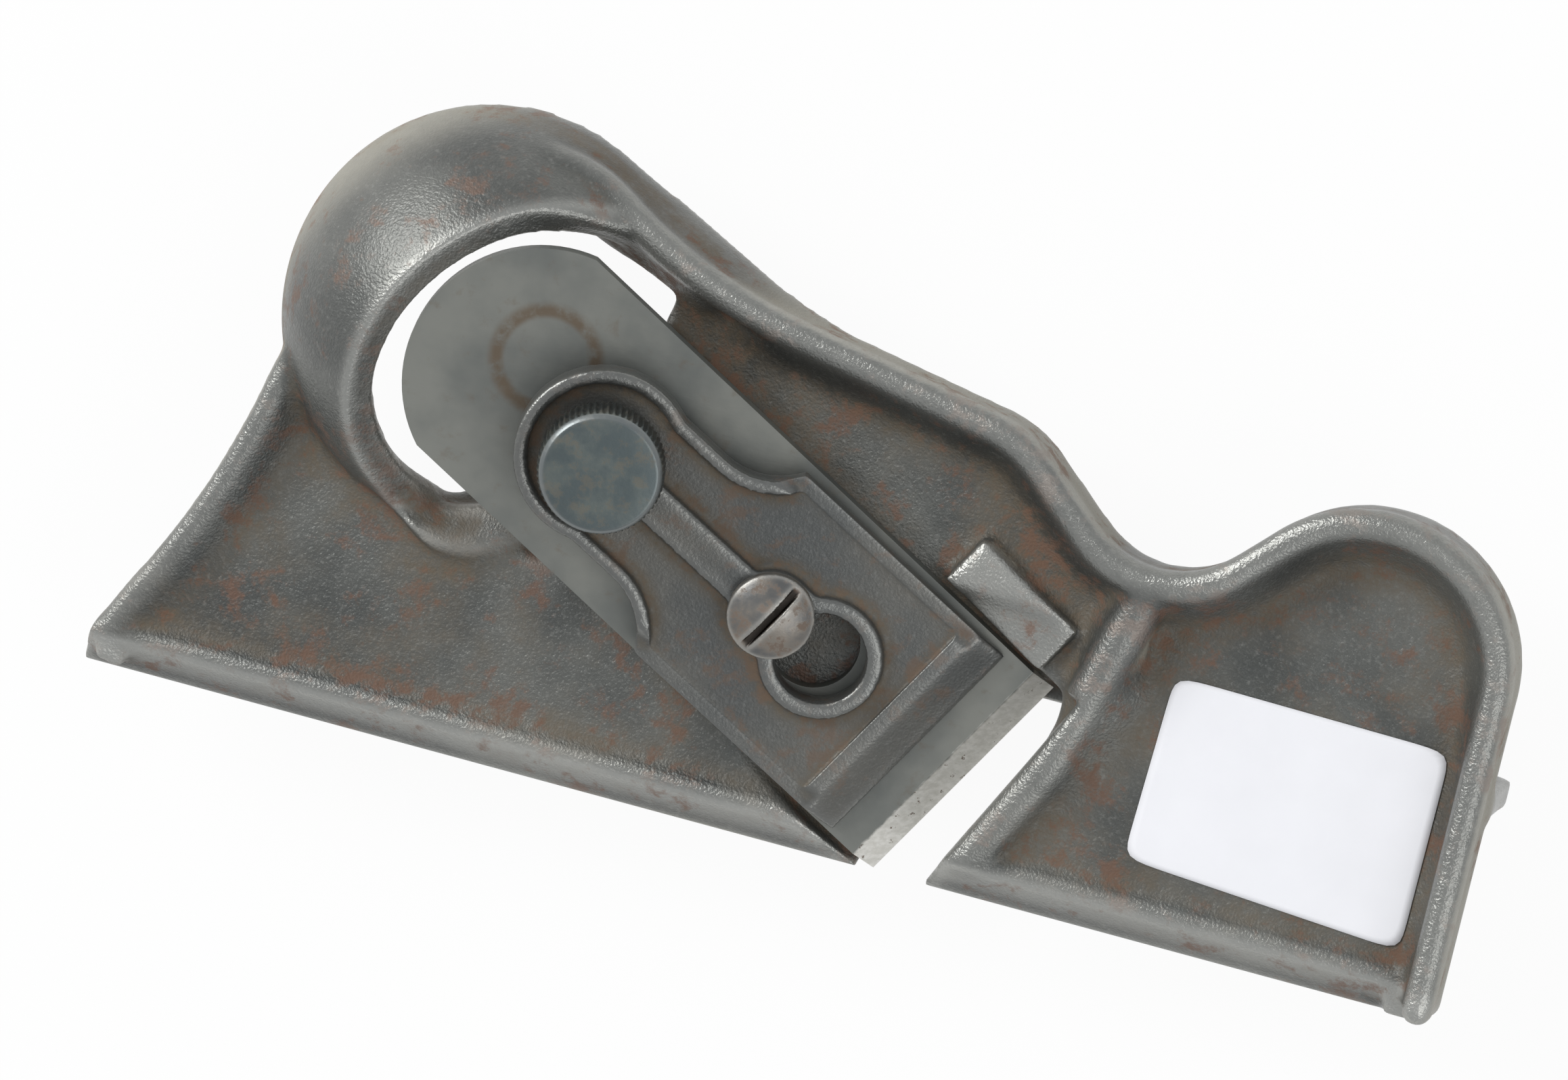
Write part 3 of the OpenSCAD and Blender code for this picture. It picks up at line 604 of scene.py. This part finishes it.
# %% Throat of the palm dome
INSIDE_Z, FLANK_FOOT_Z, CREST_ROUND = 0.5, 3.6, 0.35
FACE_OUT = np.array([0.0, 0.0, 0.35, 0.7, 0.9, 1.0])
FACE_UP = np.array([0.0, 0.0, 0.42, 0.8, 0.96, 1.0])
FLANK_OUT = np.array([0.55, 1.0, 1.5, 1.5])


def throat(name, inner, crest, tops, steps=30):
    """A closed loft: up from the hole's edge, over the crest, and down a steep outer flank. The
    face follows shares of the way out and up to the crest, whose height is given by tops."""
    inner, crest = smooth_line(np.array(inner), steps), smooth_line(np.array(crest), steps)
    top = np.interp(np.linspace(0, 1, steps), np.linspace(0, 1, len(tops)), tops)
    away = crest - inner
    out = away / np.linalg.norm(away, axis=1, keepdims=True)
    face = inner[:, None] + away[:, None] * FACE_OUT[None, :, None]
    flank = crest[:, None] + out[:, None] * FLANK_OUT[None, :, None]
    up = FLOOR_T + (top[:, None] - FLOOR_T) * FACE_UP
    up[:, 0] = INSIDE_Z
    down = np.stack([top - CREST_ROUND, FLOOR_T + (top - FLOOR_T) * 0.5,
                     np.full(steps, FLANK_FOOT_Z), np.full(steps, INSIDE_Z)], axis=1)
    return tube(name, over_sole(np.concatenate([face, flank], axis=1), np.hstack([up, down])))


TONGUE = throat("tongue",
                [[23.9, 37.6], [25.9, 33.2], [29.1, 29.5], [32.94, 27.06], [36.28, 26.89],
                 [40.28, 28.06], [42.6, 29.0]],
                [[21.8, 35.6], [25.6, 29.9], [31.05, 25.39], [35.72, 22.62], [40.0, 22.9],
                 [43.6, 25.4], [46.2, 27.2]], [10.2, 9.0, 7.6, 6.4, 5.6, 4.8, 4.1])
BEHIND = throat("behind",
                [[40.6, 60.6], [44.0, 59.1], [47.3, 57.8], [50.0, 57.0], [52.5, 56.0],
                 [55.1, 54.8], [57.4, 53.4]],
                [[41.6, 63.0], [45.8, 62.0], [49.6, 60.4], [52.9, 59.2], [56.2, 57.8],
                 [59.4, 56.6], [62.4, 55.5]], [9.0, 9.0])
print("throat:", len(TONGUE.data.vertices), "and", len(BEHIND.data.vertices), "points")

# %% [markdown]
# Two small pieces are left. A flat corner of plate lies next to the wall behind the cutter. A
# short bead links the heel's rim to the ball, so that the rim doesn't end in a stub.

# %% Corner and link
LINK_OUT = np.array([-1.5, -1.5, -1.1, 0.0, 1.1, 1.5, 1.5])
LINK_UP = np.array([0.6, 7.0, 8.0, 8.5, 8.0, 7.0, 0.6])
outline = np.array([[55.1, 54.8], [54.2, 50.7], [61.3, 48.8], [64.0, 54.4], [58.0, 55.6]])
CORNER = tube("corner", over_sole(np.stack([outline, outline]),
                                  np.repeat([[FLOOR_T], [INSIDE_Z]], len(outline), axis=1)))
steps, aside = even_steps(np.array([[15.5, 35.0], [16.1, 37.3], [16.8, 39.4], [17.6, 41.4],
                                    [18.7, 43.6]]))
LINK = tube("link", over_sole(steps[:, None] + aside[:, None] * LINK_OUT[None, :, None],
                              np.tile(LINK_UP, (len(steps), 1))))
ADDED = [*ROLLS, FAIRING, LIP, TONGUE, BEHIND, CORNER, LINK]
print("pieces that will join the casting:", [piece.name for piece in ADDED])

# %% [markdown]
# Now one skin goes round all of it. Remesh in voxel mode gives even quads, and numpy smooths
# them: each point moves towards the mean of its neighbours. So the first helpers read a mesh
# into arrays, and find that mean for all points at once by counting over the edges.

# %% Meshes as arrays
def neighbour_mean(values, ends):
    """The mean of each point's neighbours, from the two ends of every edge."""
    count = len(values)
    first, second = np.concatenate([ends, ends[:, ::-1]]).T
    share = np.bincount(first, minlength=count)[:, None]
    total = np.stack([np.bincount(first, values[second, axis], count) for axis in range(3)], axis=1)
    return total / np.maximum(share, 1)


def read_mesh(mesh):
    """Points, edge ends and normals of a mesh, as arrays."""
    points, normals = np.empty(len(mesh.vertices) * 3), np.empty(len(mesh.vertices) * 3)
    ends = np.empty(len(mesh.edges) * 2, dtype=np.int64)
    mesh.vertices.foreach_get("co", points)
    mesh.edges.foreach_get("vertices", ends)
    mesh.vertex_normals.foreach_get("vector", normals)
    return points.reshape(-1, 3), ends.reshape(-1, 2), normals.reshape(-1, 3)


def store(mesh, name, values):
    """Keeps one number for each point of a mesh."""
    attribute = mesh.attributes.new(name, "FLOAT", "POINT")
    attribute.data.foreach_set("value", values.astype(np.float32))


points, ends, _ = read_mesh(LIP.data)
print("lip:", len(points), "points and", len(ends), "edges")

# %% [markdown]
# Hands and rust don't wear a part evenly. How far a smoothed copy of the surface lies from a
# point, measured along its normal, tells a bead from a hollow. That is stored for the materials.

# %% Wear from the shape
def add_wear(mesh, reach_mm, full_mm):
    """Stores edge and hollow: how far a point stands out from, or lies below, the mean of what
    lies within its reach, as a share of full_mm."""
    points, ends, normals = read_mesh(mesh)
    spacing = np.linalg.norm(points[ends[:, 0]] - points[ends[:, 1]], axis=1).mean() / MM
    spread = points
    for _ in range(max(2, int((reach_mm / spacing) ** 2 * 2))):
        spread = 0.5 * spread + 0.5 * neighbour_mean(spread, ends)
    stands = ((points - spread) * normals).sum(axis=1) / MM / full_mm
    for _ in range(2):
        stands = neighbour_mean(np.repeat(stands[:, None], 3, axis=1), ends)[:, 0]
    store(mesh, "edge", np.clip(stands, 0, 1))
    store(mesh, "hollow", np.clip(-stands, 0, 1))


print("wear: edge and hollow")

# %% [markdown]
# A CAD node's mesh is loose triangles, so a copy of it is merged first, together with the pieces
# that join it. The remesh then makes one closed skin, a function may bend it, and the rounds of
# smoothing come last. Every finished piece is dressed in the same way: it gets its finish and the
# body that it rides on, and the CAD node that it stands for is hidden.

# %% One smooth skin
SAME_PLACE_M = 1e-7


def merged_copy(name, sources):
    """One new piece from copies of some pieces' meshes, with their doubles merged."""
    joined = bmesh.new()
    for source in sources:
        joined.from_mesh(source.data)
    bmesh.ops.remove_doubles(joined, verts=joined.verts, dist=SAME_PLACE_M)
    mesh = bpy.data.meshes.new(name)
    joined.to_mesh(mesh)
    joined.free()
    piece = bpy.data.objects.new(name, mesh)
    bpy.context.scene.collection.objects.link(piece)
    return piece


def applied(piece):
    """Puts what a piece's modifiers make into its mesh."""
    shaped = piece.evaluated_get(bpy.context.evaluated_depsgraph_get())
    piece.data = bpy.data.meshes.new_from_object(shaped)
    piece.modifiers.clear()


def one_skin(name, sources, voxel_mm, rounds, weight=None, shape=None):
    """Remeshes closed meshes into one skin, bends it with shape(points), and smooths it with
    weight(points) as the share of each round."""
    piece = merged_copy(name, sources)
    skin = piece.modifiers.new("skin", "REMESH")
    skin.mode, skin.voxel_size, skin.use_smooth_shade = "VOXEL", voxel_mm * MM, True
    applied(piece)
    points, ends, _ = read_mesh(piece.data)
    if shape is not None:
        points = shape(points)
    for _ in range(rounds):
        share = 0.5 if weight is None else weight(points)[:, None]
        points = points + share * (neighbour_mean(points, ends) - points)
    piece.data.vertices.foreach_set("co", points.ravel())
    piece.data.update()
    print(name, len(piece.data.polygons) * 2, "triangles")
    return piece


def dress(piece, material, body, node=None):
    """Gives a piece its finish and its body, and hides the node that it stands for."""
    piece.data.materials.clear()
    piece.data.materials.append(material)
    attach(piece, body)
    if node:
        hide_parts(node)


def thinned(piece, share):
    """Takes out points where the surface is flat, down to a share of its faces."""
    fewer = piece.modifiers.new("fewer", "DECIMATE")
    fewer.ratio = share
    applied(piece)
    print(piece.name, "thinned to", len(piece.data.polygons), "triangles")


print("helpers: merged_copy, applied, one_skin, dress, thinned")

# %% [markdown]
# The casting wasn't worked everywhere. Its fence and free edge were machined, so they keep their
# corners, and so does the lip of the dome, which was ground flat: what stands above a plane just
# behind the mouth goes down to it. Each rule is a smooth window, so that it starts and ends
# without a step. A place near the mouth is best told in the mouth's own plane.

# %% How the casting is smoothed and ground
LIP_CUT, BALL = 1.05, np.array([35.34, 47.0, 12.63])
GROUND_UP, GROUND_BALL = (-3.0, 1.0), (23.6, 24.8)
GROUND_HIGH, GROUND_RIM = (0.6, 1.8), (13.5, 19.5)
HEEL_TRIM_R, HEEL_TRIM_Y = 29.5, 11.0
CHEEK_ACROSS, CHEEK_BACK = (13.6, 14.4, 21.3, 22.4), (0.5, 1.4, 16.4, 17.6)
CHEEK_Y, CHEEK_DROP, CHEEK_TILT, CHEEK_EDGE = 32.0, 0.62, 0.05, 14.8
MACHINED_SHARE, CAST_SHARE, HIGH_SHARE, LIP_KEPT = 0.08, 0.14, 0.3, 0.7


def window(value, start, full, fade, end):
    """0 before start, 1 between full and fade, and 0 after end, with smooth steps."""
    return ramp(value, start, full) * (1 - ramp(value, fade, end))


def from_mouth(points):
    """For points in metres: the height over the mouth's plane, the distance from its middle, and
    the places up and aside in that plane, all in millimetres."""
    local = points - placed(MOUTH)
    up, aside = local @ MOUTH_UP, local @ MOUTH_SIDE
    return local @ MOUTH_OUT / MM, np.hypot(up, aside) / MM, up / MM, aside / MM


def cast_share(points):
    """More smoothing where the part was cast, less at the fence, the free edge and the lip."""
    inland = ramp(points[:, 1] / MM - BOX_LOW[1], 0.6, 3.4) * ramp(points[:, 2] / MM, 3.0, 8.0)
    high, away, _, _ = from_mouth(points)
    lip = (1 - ramp(np.abs(high), 2.0, 4.5)) * window(away, 14.0, 16.0, 21.5, 23.5)
    raised = ramp(points[:, 2] / MM, SOLE_Z + 1.0, SOLE_Z + 3.4)
    share = MACHINED_SHARE + CAST_SHARE * inland + HIGH_SHARE * raised
    return share * (1 - LIP_KEPT * lip)


def ground_lip(points):
    """What stands above the plane LIP_CUT behind the mouth goes down to it, except low down, off
    the ball and at the rim."""
    high, _, up, aside = from_mouth(points)
    from_ball = np.linalg.norm(points - placed(BALL), axis=1) / MM
    ground = ramp(up, *GROUND_UP) * (1 - ramp(from_ball, *GROUND_BALL))
    ground = ground * (1 - ramp(high, *GROUND_HIGH)) * (1 - ramp(-aside, *GROUND_RIM))
    return points - (np.maximum(high + LIP_CUT, 0) * ground * MM)[:, None] * MOUTH_OUT


def cast_form(points):
    """Grinds the lip, trims the band's end to a circle along the heel, and lowers the cheek
    beside the cutter by a share of its height."""
    local = on_sole(ground_lip(points))
    x, y, z = local.T
    heel_y = np.clip(y, -1, 12) - HEEL_FOOT[1]
    heel_x = HEEL_FOOT[0] - np.sqrt(HEEL_TRIM_R ** 2 - heel_y ** 2)
    trimmed = np.where((y < HEEL_TRIM_Y) & (x < heel_x), heel_x, x)
    back, across = (local - EDGE) @ BACK, (local - EDGE) @ ACROSS
    cheek = window(across, *CHEEK_ACROSS) * window(back, *CHEEK_BACK)
    cheek = cheek * (z > SOLE_Z + FLOOR_T) * (y < CHEEK_Y)
    drop = cheek * (CHEEK_DROP - CHEEK_TILT * (across - CHEEK_EDGE))
    return placed(np.column_stack([trimmed, y, z - (z - SOLE_Z - FLOOR_T) * drop]))


CASTING = one_skin("casting", [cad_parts["body"], *ADDED], voxel_mm=0.5, rounds=9,
                   weight=cast_share, shape=cast_form)
add_wear(CASTING.data, reach_mm=1.9, full_mm=0.36)
for scrap in ADDED:
    bpy.data.objects.remove(scrap)

# %% [markdown]
# Three more numbers on each point tell the materials where the casting is pale, dark or bare.
# Its outer flank is pale and dull: dust, and a painted sheen of grazing light. Dirt lies on the
# floor, and round the dome's foot it is deepened by painted shade. The casting is also darker
# inside the dome's mouth and at the tongue's tip. The band at the free edge, the cheek and the
# bead of the lip are rubbed bright.

# %% Flank, low and band
MIDDLE, DOME, TIP = (70.0, 20.0), (35.3, 47.0), (35.5, 25.8)


def flank_share(points, normals):
    """1 where the surface faces away from the casting's middle, above the fence."""
    outward = points - placed([*MIDDLE, 0.0])
    outward[:, 2] = 0
    outward /= np.linalg.norm(outward, axis=1, keepdims=True) + 1e-9
    facing = (outward * normals).sum(axis=1)
    return ramp(facing, 0.72, 0.96) * ramp(points[:, 2] / MM, 14.0, 15.5)


def near(points, place, full, end):
    """1 within a distance of a place on the sole, falling to 0 at a larger one."""
    flat = points[:, :2] - placed([*place, 0.0])[:2]
    return 1 - ramp(np.hypot(*flat.T) / MM, full, end)


def low_share(points):
    """The floor, the inside of the mouth, and the tongue's tip, whichever is most."""
    above = points[:, 2] / MM - SOLE_Z
    high, away, _, _ = from_mouth(points)
    # The floor gets dirt. Round the dome's foot it is raised further, as painted shade.
    floor = window(above, 2.0, 3.5, 4.6, 7.5) * (0.8 + 1.2 * near(points, DOME, 24.0, 30.0))
    inside = (1 - ramp(high, -1.3, -0.7)) * (1 - ramp(away, 19.2, 20.0)) * ramp(above, 0.5, 1.5)
    return np.maximum(floor, 1.3 * np.maximum(inside, near(points, TIP, 3.0, 5.5)))


def band_share(points, normals):
    """The band along the free edge and the cheek, where they face up, and the lip's bead."""
    above, inland = points[:, 2] / MM - SOLE_Z, points[:, 1] / MM - BOX_LOW[1]
    level = ramp(normals[:, 2], 0.4, 0.8)
    band = level * (1 - ramp(inland, 3.4, 4.2)) * ramp(above, 2.0, 3.5)
    local = points - placed(EDGE)
    across, back = local @ ACROSS / MM, local @ BACK / MM
    cheek = window(across, 14.4, 15.2, 20.4, 21.2) * window(back, 1.6, 2.4, 15.4, 16.2) * level
    high, away, _, _ = from_mouth(points)
    bead = np.exp(-((away - 20.5) / 0.6) ** 2 - ((high + LIP_CUT + 0.2) / 0.8) ** 2)
    return np.maximum(np.maximum(band, 0.7 * cheek), 0.8 * bead)


points, _, normals = read_mesh(CASTING.data)
# flank marks where pale dust and a painted sheen go. low marks dirt, and the painted shade round
# the dome.
store(CASTING.data, "flank", flank_share(points, normals))
store(CASTING.data, "low", low_share(points))
store(CASTING.data, "band", band_share(points, normals))
thinned(CASTING, share=0.64)
dress(CASTING, IRON, "body", "body")

# %% [markdown]
# The lever cap was cast too, so it gets the same treatment with finer voxels, which keeps its
# narrow raised edge. The cap screw's head is small and rubbed round, and the remesh also rounds
# the edges of its slot.

# %% Lever cap and cap screw
CAP_ALONG, CAP_UP = over_bed(CAP_DEG)
BED_ALONG, BED_UP = over_bed(BED_DEG)
NOSE_BACK, NOSE_LIFT = 6.5, 2.05
CAP_NOSE = EDGE + NOSE_BACK * BED_ALONG + NOSE_LIFT * BED_UP
FIELD_Z, CAP_T, NOSE_W, NOSE_Z, NOSE_FOOT_Z = 2.3, 3.6, 4.1, 2.85, 1.0
BORDER_Y, BORDER_X, RIDGE_X, BORDER_CUT = (10.7, 11.7), (31.0, 36.5), (5.5, 6.5), 0.9


def cap_form(points):
    """Lowers the cap's raised border along its front part and the ridge behind its nose, by a
    share of their height over the field, and the nose in proportion."""
    local = points - placed(CAP_NOSE)
    x, z = local @ CAP_ALONG / MM, local @ CAP_UP / MM
    y = np.abs(local @ ACROSS / MM)
    border = ramp(y, *BORDER_Y) * (1 - ramp(x, *BORDER_X))
    ridge = 1 - ramp(x, *RIDGE_X)
    ridge_cut = 1 - (NOSE_Z - FIELD_Z) / (CAP_T - FIELD_Z)
    keep = 1 - np.maximum(BORDER_CUT * border, ridge * ridge_cut)
    wanted = np.where(z > FIELD_Z, FIELD_Z + (z - FIELD_Z) * keep, z)
    nose = NOSE_FOOT_Z + (z - NOSE_FOOT_Z) * (NOSE_Z - NOSE_FOOT_Z) / (CAP_T - NOSE_FOOT_Z)
    wanted = np.where((x < NOSE_W) & (z > NOSE_FOOT_Z), nose, wanted)
    return points + (wanted - z)[:, None] * MM * CAP_UP


CAP = one_skin("cap", [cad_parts["lever_cap"]], voxel_mm=0.28, rounds=7, shape=cap_form)
add_wear(CAP.data, reach_mm=1.1, full_mm=0.16)
dress(CAP, CAP_IRON, "lever_cap", "lever_cap")

SCREW = one_skin("slotted_screw", [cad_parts["cap_screw"]], voxel_mm=0.13, rounds=2)
add_wear(SCREW.data, reach_mm=0.45, full_mm=0.05)
dress(SCREW, BRIGHT, "cap_screw", "cap_screw")

# %% [markdown]
# The thumb screw is a turned part, so it is a profile revolved about its axis, and the knurl is
# a ripple added to the radius of the rows that carry it. The bright line round its top is the
# chamfer, which is marked as worn edge.

# %% Thumb screw
TEETH, TOOTH_STEPS, KNURL_DEPTH = 61, 8, 0.14
AROUND = TEETH * TOOTH_STEPS
THUMB_RUN, THUMB_LIFT = 46.0, 4.8
THUMB_PROFILE = np.array([
    [0.3, -6.6], [2.9, -6.6], [3.2, -6.3], [3.2, -0.1], [3.3, 0.0], [5.9, 0.0], [6.2, 0.06],
    [6.45, 0.35], [6.55, 0.6], [6.6, 0.9], [6.6, 2.0], [6.6, 3.2], [6.6, 4.3], [6.55, 4.8],
    [6.5, 5.1], [6.47, 5.25], [6.4, 5.38], [6.1, 5.68], [6.0, 5.73], [5.8, 5.75], [3.8, 5.77],
    [1.8, 5.77], [0.2, 5.77]])
KNURL_ROWS = (THUMB_PROFILE[:, 1] > 0.4) & (THUMB_PROFILE[:, 1] < 5.0)


def thumb_rings():
    """The profile's (radius, height) turned about CAP_UP. In the knurl's rows a cosine of the
    angle is added to the radius, once per tooth, which makes rounded teeth."""
    centre = CAP_NOSE + THUMB_RUN * CAP_ALONG + THUMB_LIFT * CAP_UP
    side = np.cross(CAP_UP, CAP_ALONG)
    angle = np.linspace(0, 2 * np.pi, AROUND, endpoint=False)
    radius, height = THUMB_PROFILE.T
    radius = radius[:, None] + KNURL_DEPTH * np.cos(TEETH * angle) * KNURL_ROWS[:, None]
    turned = np.cos(angle)[:, None] * CAP_ALONG + np.sin(angle)[:, None] * side
    return centre + radius[..., None] * turned + height[:, None, None] * CAP_UP


THUMB = tube("knurled_screw", thumb_rings())
rubbed = window(THUMB_PROFILE[:, 1], 5.05, 5.3, 5.7, 5.76)
store(THUMB.data, "edge", np.repeat(rubbed, AROUND))
store(THUMB.data, "hollow", np.repeat(0.5 * KNURL_ROWS, AROUND))
dress(THUMB, BLUED, "thumb_screw", "thumb_screw")
print("thumb screw:", TEETH, "teeth")

# %% [markdown]
# The cutter is flat stock, so its CAD shape is right. A merged copy gets a very small bevel,
# which catches the light on its arrises as ground steel does.

# %% Cutter
ARRIS_W, SHARP_DEG = 0.12, 20
CUTTER = merged_copy("cutter_blade", [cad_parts["cutter"]])
bevel = CUTTER.modifiers.new("arris", "BEVEL")
bevel.width, bevel.segments, bevel.limit_method = ARRIS_W * MM, 2, "ANGLE"
bevel.angle_limit = float(np.radians(SHARP_DEG))
CUTTER.data.polygons.foreach_set("use_smooth", np.full(len(CUTTER.data.polygons), False))
dress(CUTTER, CUTTER_STEEL, "cutter", "cutter")
print("cutter:", len(CUTTER.data.polygons), "faces before its bevel")

# %% [markdown]
# A bare paper label lies in the toe's field. It is a grid inside a rounded outline, laid on the
# casting: a ray finds the iron below each point, and the sheet bends softly over it.

# %% Paper label
def paper():
    """Thin white paper with a soft grain."""
    f = Finish("label_paper")
    tone = f.noise(6.0, 3.0).mix(colour(226, 226, 229), colour(234, 234, 237))
    return f.set(Base_Color=tone, Roughness=0.6, Normal=f.bump(f.noise(0.35, 3.0), 0.02, 0.4))


RAY_FROM = 60.0


def lay(flat, rounds=14):
    """Heights of a sheet laid on the casting: it never dips below it, and bends only softly.
    Each round draws every point towards its row's and its ring's mean, and lifts it again."""
    tree = BVHTree.FromObject(CASTING, bpy.context.evaluated_depsgraph_get())
    starts = placed(np.column_stack([flat.reshape(-1, 2), np.full(flat.size // 2, RAY_FROM)]))
    under = np.array([tree.ray_cast(Vector(start), Vector((0, 0, -1)))[0][2] for start in starts])
    under = under.reshape(flat.shape[:2]) / MM
    high = under.copy()
    for _ in range(rounds):
        soft = 0.5 * high + 0.25 * (np.roll(high, 1, 1) + np.roll(high, -1, 1))
        soft[1:-1] = 0.5 * soft[1:-1] + 0.25 * (high[:-2] + high[2:])
        high = np.maximum(soft, under)
    return high


LABEL = np.array([[116.8, 29.1], [147.1, 28.6], [146.9, 6.9], [116.0, 8.9]])
SQUARENESS, LABEL_RINGS, LABEL_HOLE, LABEL_LIFT, LABEL_T = 16, 18, 0.04, 0.12, 0.1


def label_grid():
    """Rings inside a superellipse, |x|^n + |y|^n = 1, whose square is then stretched between the
    label's four corners, each weighted by how near it is."""
    angle = np.radians(np.arange(0, 360, 2.5))
    power = np.abs(np.cos(angle)) ** SQUARENESS + np.abs(np.sin(angle)) ** SQUARENESS
    outline = np.stack([np.cos(angle), np.sin(angle)], axis=1) / power[:, None] ** (1 / SQUARENESS)
    rings = outline[None] * np.linspace(LABEL_HOLE, 1, LABEL_RINGS)[:, None, None]
    u, v = (rings[..., 0:1] + 1) / 2, (rings[..., 1:2] + 1) / 2
    return ((1 - u) * (1 - v) * LABEL[3] + u * (1 - v) * LABEL[2] + u * v * LABEL[1]
            + (1 - u) * v * LABEL[0])


flat = label_grid()
around = flat.shape[1]
high = lay(flat).ravel() + LABEL_LIFT
flat = flat.reshape(-1, 2)
faces = [face[::-1] for face in grid_faces(LABEL_RINGS, around)] + [list(range(around))]
PAPER = mesh_object("label", placed(np.column_stack([flat, high])), faces)
thick = PAPER.modifiers.new("thickness", "SOLIDIFY")
thick.thickness, thick.offset = LABEL_T * MM, 0.0
dress(PAPER, paper(), "body")
print("label:", np.round(np.ptp(flat, axis=0), 1).tolist(), "mm")

# %% [markdown]
# The photograph was taken almost from above, on a white ground without a clear shadow. The
# floor shows the camera and the reflections a plain white, mixed with a little real light so
# that a faint shadow stays. The object is lit by a pale sky and two large soft lamps.

# %% Floor and sky
def white_ground(name, share):
    """White for the camera, for reflections and through glass, and a pale matt floor for light."""
    material = bpy.data.materials.new(name)
    material.use_nodes = True
    tree = material.node_tree
    tree.nodes.clear()
    path = tree.nodes.new("ShaderNodeLightPath").outputs
    seen = Shade(tree, path["Is Camera Ray"])
    for other in ("Is Glossy Ray", "Is Transmission Ray"):
        seen = seen.math("MAXIMUM", seen, Shade(tree, path[other]))
    matt = seen.node("ShaderNodeBsdfDiffuse", {}, {"Color": colour(226, 226, 224)})
    glow = seen.node("ShaderNodeEmission", {}, {"Color": (1, 1, 1, 1), "Strength": 1.0})
    both = seen.node("ShaderNodeMixShader", {}, {0: seen * share, 1: matt, 2: glow})
    end = tree.nodes.new("ShaderNodeOutputMaterial")
    tree.links.new(both.socket, end.inputs["Surface"])
    return material


FLOOR_HALF_M, FLOOR_WHITE = 3.0, 0.94
SKY_COLOUR, SKY_STRENGTH = (0.95, 0.97, 1.0, 1), 0.62
corners = FLOOR_HALF_M * np.array([[-1, -1, 0], [1, -1, 0], [1, 1, 0], [-1, 1, 0]])
FLOOR = mesh_object("floor", corners, [[0, 1, 2, 3]], smooth=False)
FLOOR.data.materials.append(white_ground("white_floor", FLOOR_WHITE))

world = bpy.data.worlds.new("sky")
world.use_nodes = True
sky = world.node_tree.nodes["Background"]
sky.inputs["Color"].default_value = SKY_COLOUR
sky.inputs["Strength"].default_value = SKY_STRENGTH
bpy.context.scene.world = world
print("floor:", 2 * FLOOR_HALF_M, "m wide")

# %% [markdown]
# The lamps are squares that look at the object: a strong one from the heel's side, and a weak
# one opposite. The camera's turn is given by its three axes, and its long lens by the distance
# that the photograph was taken from.

# %% Lamps and camera
VIEW = Vector((0.175, 0.125, 0.976601))
RIGHT = Vector((0.951794, 0.232318, -0.200290))
TOP = Vector((-0.251918, 0.964574, -0.078319))
CAMERA_AT = Vector((0.17086, 0.122007, 0.992601))
LENS_MM, SENSOR_MM, FAR_M = 215.2, 36.0, 20.0


def soft_lamp(name, place_mm, watts, size, aim_mm=(0, 0, 20)):
    """A square area lamp that looks at the object."""
    lamp = bpy.data.lights.new(name, "AREA")
    lamp.energy, lamp.size = watts, size
    holder = bpy.data.objects.new(name, lamp)
    holder.location = Vector(place_mm) * MM
    holder.rotation_euler = (Vector(aim_mm) - Vector(place_mm)).to_track_quat("-Z", "Y").to_euler()
    bpy.context.scene.collection.objects.link(holder)


soft_lamp("key", (-640, 380, 580), watts=6.0, size=0.45)
soft_lamp("fill", (500, -200, 600), watts=1.6, size=0.5)

lens = bpy.data.cameras.new("camera")
lens.lens, lens.sensor_width, lens.sensor_fit = LENS_MM, SENSOR_MM, "HORIZONTAL"
lens.clip_end = FAR_M
camera = bpy.data.objects.new("camera", lens)
turn = Matrix((RIGHT, TOP, VIEW)).transposed()
camera.matrix_world = Matrix.Translation(CAMERA_AT) @ turn.to_4x4()
bpy.context.scene.collection.objects.link(camera)
bpy.context.scene.camera = camera
bpy.context.scene.view_settings.view_transform = "Standard"
print("camera distance:", round(camera.location.length, 3), "m")
